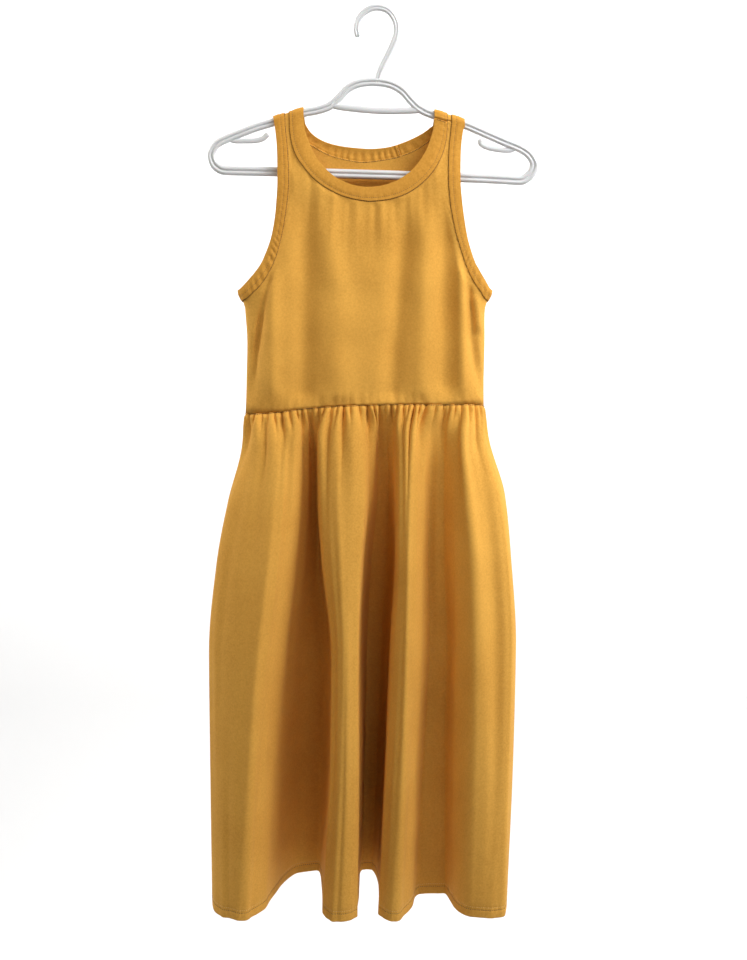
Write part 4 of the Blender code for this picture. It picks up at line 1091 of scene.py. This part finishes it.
def rod_points(line, radius, groove, wide, closed=False):
    """Sweep a grooved oval section along a line of the hanger; wide is its width over its depth."""
    path = curve(np.array(line) / 1000, closed=closed, steps=5)
    if closed:
        path = np.concatenate([path, path[:1]])
        ahead = np.roll(path[:-1], -1, axis=0) - np.roll(path[:-1], 1, axis=0)
        ahead = np.concatenate([ahead, ahead[:1]])
    else:
        ahead = np.gradient(path, axis=0)
    ahead /= np.linalg.norm(ahead, axis=1, keepdims=True)
    size = np.ones(len(path))
    if not closed:
        caps = np.array([0.0, 0.30, 0.55, 0.78, 0.93])
        reach = radius * np.sin(np.arccos(caps))
        start = path[0] - ahead[0] * reach[:, None]
        end = path[-1] + ahead[-1] * reach[::-1, None]
        path = np.concatenate([start, path, end])
        first, last = np.repeat(ahead[:1], len(caps), axis=0), np.repeat(ahead[-1:], len(caps), axis=0)
        ahead = np.concatenate([first, ahead, last])
        size = np.concatenate([caps, size, caps[::-1]])
    angle = np.linspace(0, 2 * math.pi, 41)
    grooves = sum(np.exp(-((angle - face * math.pi) / GROOVE_HALF) ** 2) for face in (0.5, 1.5))
    dent = 1 - groove * grooves
    across = np.stack([-ahead[:, 1], ahead[:, 0]], axis=1)
    bottom_bar = smooth((BOTTOM_BAR_TOP - path[:, 1]) / 0.010) * closed
    width = wide * (1 + BOTTOM_BAR_EXTRA * bottom_bar)
    off = radius * (size * width)[:, None] * (dent * np.cos(angle))[None, :]
    deep = radius * size[:, None] * (dent * np.sin(angle))[None, :]
    points = np.zeros((len(path), len(angle), 3))
    points[..., 0] = path[:, None, 0] + across[:, None, 0] * off
    points[..., 2] = path[:, None, 1] + across[:, None, 1] * off
    points[..., 1] = deep
    return points


class DRESS_OT_bodice(bpy.types.Operator):
    """Lay the front and back bodice panels on the body and over the hanger's arms."""

    bl_idname = "dress.bodice"
    bl_label = "Bodice"

    def execute(self, context):
        cloth = context.scene.dress_cloth
        look = jersey("mustard_jersey", cloth.colour, cloth)
        # Stitch rows beside the panels' seams in the darkened thread: painted shade of the stitch grooves
        thread = sewing_thread("sewing_thread", cloth.thread)
        lines = []
        for side, name in ((1, "front_bodice"), (-1, "back_bodice")):
            points, flat = panel_points(side, cloth)
            points = pull_in(points, SEAM_GAP / 2, ["u0", "u1"])
            points = pull_in(points, -UNDERLAP, ["v0"])
            on_waist = points[:, -1, 2] < ARMHOLE_LOW
            tucked = pull_in(points, -UNDERLAP, ["v1"])
            points = np.where(on_waist[:, None, None], points, tucked)
            piece = attach(grid_object(name + "_panel", points, look, CLOTH, flat), name)
            normal = normals(points)
            normal = normal * np.sign(-side * np.mean(normal[..., 1]))
            out = CLOTH / 2 + THREAD_LIFT
            line, away = row_inside(points, normal, False)
            lines.append((line + away * out, away))
            line, away = row_inside(points, normal, True)
            arm = ARM_STEPS + 1
            for part in (slice(arm), slice(-arm, None)):
                lines.append((line[part] + away[part] * out, away[part]))
        attach(stitch_rows("bodice_stitches", lines, thread, *PANEL_STITCH))
        return {"FINISHED"}


class DRESS_OT_bands(bpy.types.Operator):
    """Bind the neck and the armholes with doubled bands."""

    bl_idname = "dress.bands"
    bl_label = "Neckband and armbands"

    def execute(self, context):
        cloth = context.scene.dress_cloth
        # The bands take the panels' jersey made darker and more orange: painted shade on the bands
        look = jersey("band_jersey_painted_shade", shaded(cloth.colour, 0.90, 0.84, 0.74), cloth, fuzz=0.7)
        # Topstitch rows on the bands in the same darkened thread: painted shade of the stitch grooves
        thread = bpy.data.materials["sewing_thread"]
        # Seam thread whose dark colour is painted shade in the seams
        seam_shade_thread = sewing_thread("seam_shade_thread", cloth.seam)
        joins = (RIGHT_SHOULDER_SEAM, BACK_JOIN)
        # Name, ring of points, a place inside, joins, ripples front and back, place of the stitches
        bands = (
            ("neckband", band_points("neck"), (-0.0115, 0.0, -0.13), joins, (0.00014, 0.0007), 0.23),
            ("left_armband", band_points("arm", True), (-0.10, 0.0, -0.24), (), (0.0002, 0.0003), 0.36),
            ("right_armband", band_points("arm", False), (0.07, 0.0, -0.24), (), (0.0002, 0.0003), 0.36),
        )
        lines = []
        seam_lines = []
        for name, points, inside, seams, ripples, row in bands:
            points, normal = finish_band(points, np.array(inside), seams, ripples, row)
            middle = points[:, BAND_MIDDLE]
            piece = grid_object(name + "_binding", points, look, BAND, closed=True, round_edge=BAND_ROUNDING)
            attach(piece, name)
            low = int(row * BAND_ROWS)
            part = row * BAND_ROWS - low
            line = points[:, low] * (1 - part) + points[:, low + 1] * part
            away = normal[:, low]
            lines.append((line + away * (BAND / 2 - THREAD_LIFT), away))
            # Dark seam thread pushed 0.4 mm out beside each band's seam edge, so a dark line shows on both
            # sides: painted shade of the seam crevice
            out = normal[:, 0]
            outwards = points[:, 0] - points[:, 1]
            beside = points[:, 0] + outwards / np.linalg.norm(outwards, axis=-1, keepdims=True) * 0.0004
            seam_lines.append((beside + out * SEAM_THREAD_LIFT, out))
            if name != "neckband":
                continue
            # Inside the back stretch and across the two joins the same dark thread is painted shade in the
            # seams
            deep = BAND / 2 + SEAM_THREAD_LIFT
            seam_lines.append((beside[BACK_STRETCH] - out[BACK_STRETCH] * deep, -out[BACK_STRETCH]))
            for (place, _, _), face in ((BACK_JOIN, -1), (RIGHT_SHOULDER_SEAM, 1)):
                across = nearest(middle, place)
                out = face * normal[across, 1:-1]
                seam_lines.append((points[across, 1:-1] + out * deep, out))
        attach(stitch_rows("band_stitches", lines, thread, *BAND_STITCH))
        attach(stitch_rows("band_seams", seam_lines, seam_shade_thread, *BAND_SEAM_STITCH))
        return {"FINISHED"}


class DRESS_OT_skirt(bpy.types.Operator):
    """Gather the front and back skirt panels into the waist seam and turn up the hem."""

    bl_idname = "dress.skirt"
    bl_label = "Gathered skirt"

    def execute(self, context):
        cloth = context.scene.dress_cloth
        settings = context.scene.dress_skirt
        look = bpy.data.materials["mustard_jersey"]
        shadow_row_thread = bpy.data.materials["sewing_thread"]
        seam_shade_thread = bpy.data.materials["seam_shade_thread"]
        light_thread = sewing_thread("hem_thread", shaded(cloth.colour, 1.1, 1.3, 1.9))
        # Side, name, columns of the grid, width of the flat cloth in metres
        for side, name, columns, cut in ((1, "front_skirt", 400, 0.96), (-1, "back_skirt", 340, 0.80)):
            points, outward, rows = skirt_points(side, settings, columns)
            points = pull_in(points, SEAM_GAP / 2, ["u0", "u1"])
            u = np.linspace(0, cut, columns + 1)[:, None]
            flat = np.stack(np.broadcast_arrays(u, points[..., 2]), axis=-1)
            piece = attach(grid_object(name + "_panel", points, look, CLOTH, flat, even=True), name)
            out = np.concatenate([outward, np.zeros_like(outward[..., :1])], axis=-1)

            from_row = rows[1] - 2
            turned = points[:, from_row:] - out[:, from_row:] * (CLOTH + 0.00025)
            turned = turned + np.array([0.0, 0.0, 0.0004])
            hem = grid_object(name + "_turned_hem", turned, look, CLOTH * 0.8, flat[:, from_row:])
            attach(hem)
            # Dark seam thread along the waist seam: painted shadow under the bodice's edge
            waist = points[:, 0] + out[:, 0] * 0.0019 - np.array([0.0, 0.0, 0.0003])
            waist_seam = stitch_rows(name + "_waist_seam", [(waist, out[:, 0])], seam_shade_thread, *WAIST_STITCH)
            attach(waist_seam)
            # The lower hem row is laid in the dark thread: painted shadow line under the hem's raised
            # stitches; the upper row is the light hem thread
            for row, kind, thread, size in ((rows[0], "lower_shadow", shadow_row_thread, 0.00075),
                                            (rows[1], "upper", light_thread, 0.00080)):
                line = points[:, row] + out[:, row] * (CLOTH / 2 + THREAD_LIFT)
                stitches = stitch_rows(f"{name}_{kind}_stitches", [(line, out[:, row])], thread,
                                       settings.stitch, size)
                attach(stitches)
        return {"FINISHED"}


class DRESS_OT_hanger(bpy.types.Operator):
    """Mould the hanger: grooved frame, round hook, eye bar and two strap hooks."""

    bl_idname = "dress.hanger"
    bl_label = "Hanger"

    def execute(self, context):
        settings = context.scene.dress_hanger
        look = moulded_plastic("white_moulded_plastic", settings.colour)
        # Name, line, radius, groove, width over depth, closed
        rods = (
            ("hanger_frame", HANGER_FRAME, ARM_ROD, settings.groove, 1.12, True),
            ("hook", HOOK, HOOK_ROD, settings.groove * 0.6, 1.1, False),
            ("eye_bar", CROSSBAR, CROSSBAR_ROD, 0.0, 1.3, False),
            ("strap_hook_left", STRAP_HOOK_LEFT, STRAP_HOOK_ROD, 0.0, 1.5, False),
            ("strap_hook_right", STRAP_HOOK_RIGHT, STRAP_HOOK_ROD, 0.0, 1.5, False),
        )
        made = [
            grid_object(name, rod_points(line, radius, groove, wide, closed), look, closed=True)
            for name, line, radius, groove, wide, closed in rods
        ]
        body = made[0]
        for other in made[1:]:
            join = body.modifiers.new(other.name, "BOOLEAN")
            join.operation = "UNION"
            join.solver = "EXACT"
            join.object = other
        graph = context.evaluated_depsgraph_get()
        whole = bpy.data.meshes.new_from_object(body.evaluated_get(graph))
        body.modifiers.clear()
        body.data = whole
        whole.shade_smooth()
        for other in made[1:]:
            bpy.data.objects.remove(other)
        attach(body, "hanger")
        return {"FINISHED"}


def backdrop_mesh(settings):
    """Sheet of floor, bend and wall, facing the dress."""
    half_width, front, bend, rise = 6.0, -4.0, 0.6, 3.2
    floor_rows, bend_rows, wall_rows = 20, 30, 10
    corner = settings.wall - bend
    rows = floor_rows + bend_rows + wall_rows
    mesh = bpy.data.meshes.new("backdrop")
    bm = bmesh.new()
    bmesh.ops.create_grid(bm, x_segments=2, y_segments=rows, size=0.5)
    for vert in bm.verts:
        t = (vert.co.y + 0.5) * rows
        if t <= floor_rows:
            y, z = front + (corner - front) * t / floor_rows, 0.0
        elif t <= floor_rows + bend_rows:
            a = (t - floor_rows) / bend_rows * math.pi / 2
            y, z = corner + bend * math.sin(a), bend * (1 - math.cos(a))
        else:
            y, z = corner + bend, bend + (t - floor_rows - bend_rows) / wall_rows * rise
        vert.co = (vert.co.x * 2 * half_width, y, settings.floor + z)
    bmesh.ops.recalc_face_normals(bm, faces=bm.faces)
    bm.to_mesh(mesh)
    bm.free()
    return mesh


def area_light(name, place, aim, size, power, colour):
    """Hang a square light that points at a place."""
    data = bpy.data.lights.new(name, "AREA")
    data.shape = "SQUARE"
    data.size = size
    data.energy = power
    data.color = colour
    lamp = bpy.data.objects.new(name, data)
    lamp.location = place
    lamp.rotation_euler = (Vector(aim) - Vector(place)).to_track_quat("-Z", "Y").to_euler()
    bpy.context.scene.collection.objects.link(lamp)


class DRESS_OT_stage(bpy.types.Operator):
    """Set up the pale floor and wall, the soft studio lights and the camera."""

    bl_idname = "dress.stage"
    bl_label = "Floor, lights and camera"

    def execute(self, context):
        settings = context.scene.dress_stage
        look = bpy.data.materials.new("pale_backdrop")
        look.use_nodes = True
        shader = look.node_tree.nodes["Principled BSDF"]
        shader.inputs["Base Color"].default_value = (0.93, 0.93, 0.93, 1.0)
        shader.inputs["Roughness"].default_value = 0.9
        shader.inputs["Specular IOR Level"].default_value = 0.1
        new_piece("backdrop", backdrop_mesh(settings), look)

        world = bpy.data.worlds.new("studio")
        world.use_nodes = True
        world.node_tree.nodes["Background"].inputs[0].default_value = (1.0, 1.0, 1.0, 1.0)
        world.node_tree.nodes["Background"].inputs[1].default_value = settings.room
        context.scene.world = world
        context.scene.view_settings.view_transform = "Standard"

        cool, warm, white = (0.96, 0.98, 1.0), (1.0, 0.94, 0.80), (1.0, 1.0, 1.0)
        front_power = settings.key * 0.24
        # Name, place, aim, size, power, colour
        lights = (
            ("side_light_right", (1.6, -0.9, 1.0), (0.0, 0.0, -0.5), 1.0, settings.key, cool),
            ("front_light_right", (0.7, -1.5, 0.6), (0.0, 0.0, -0.6), 1.0, front_power, cool),
            ("side_light_left", (-1.3, -1.3, 1.0), (0.0, 0.0, -0.5), 1.0, settings.fill, warm),
            ("backdrop_light_left", (-1.7, 0.5, 0.6), (-0.2, 2.2, -0.8), 1.2, settings.back, white),
            ("backdrop_light_right", (1.7, 0.5, 0.6), (0.2, 2.2, -0.8), 1.2, settings.back, white),
        )
        for light in lights:
            area_light(*light)

        data = bpy.data.cameras.new("camera")
        data.lens = CAMERA_LENS
        data.sensor_width = 36.0
        data.clip_start = 0.05
        camera = bpy.data.objects.new("camera", data)
        camera.location = CAMERA_PLACE
        camera.rotation_euler = (math.radians(90 - CAMERA_DOWN), 0.0, 0.0)
        context.scene.collection.objects.link(camera)
        context.scene.camera = camera
        return {"FINISHED"}


OPERATORS = (DRESS_OT_stage, DRESS_OT_bodice, DRESS_OT_bands, DRESS_OT_skirt, DRESS_OT_hanger)


class DRESS_PT_panel(bpy.types.Panel):
    """Sidebar panel with the dress's settings and the buttons that build its pieces."""

    bl_label = "Dress on a hanger"
    bl_idname = "DRESS_PT_panel"
    bl_space_type = "VIEW_3D"
    bl_region_type = "UI"
    bl_category = "Dress"

    def draw(self, context):
        scene = context.scene
        for group in (scene.dress_cloth, scene.dress_skirt, scene.dress_hanger, scene.dress_stage):
            box = self.layout.box()
            for name in group.__annotations__:
                box.prop(group, name)
        for operator in OPERATORS:
            self.layout.operator(operator.bl_idname)


GROUPS = (
    ("dress_cloth", DRESS_PG_cloth),
    ("dress_skirt", DRESS_PG_skirt),
    ("dress_hanger", DRESS_PG_hanger),
    ("dress_stage", DRESS_PG_stage),
)


def register():
    """Register the settings, the operators and the panel."""
    for name, group in GROUPS:
        bpy.utils.register_class(group)
        setattr(bpy.types.Scene, name, PointerProperty(type=group))
    for operator in OPERATORS:
        bpy.utils.register_class(operator)
    bpy.utils.register_class(DRESS_PT_panel)


def unregister():
    """Take them out again."""
    bpy.utils.unregister_class(DRESS_PT_panel)
    for operator in reversed(OPERATORS):
        bpy.utils.unregister_class(operator)
    for name, group in reversed(GROUPS):
        delattr(bpy.types.Scene, name)
        bpy.utils.unregister_class(group)


def main():
    """Register the add-on and build everything."""
    register()
    bpy.ops.dress.stage()
    bpy.ops.dress.bodice()
    bpy.ops.dress.bands()
    bpy.ops.dress.skirt()
    bpy.ops.dress.hanger()


if __name__ == "__main__":
    main()
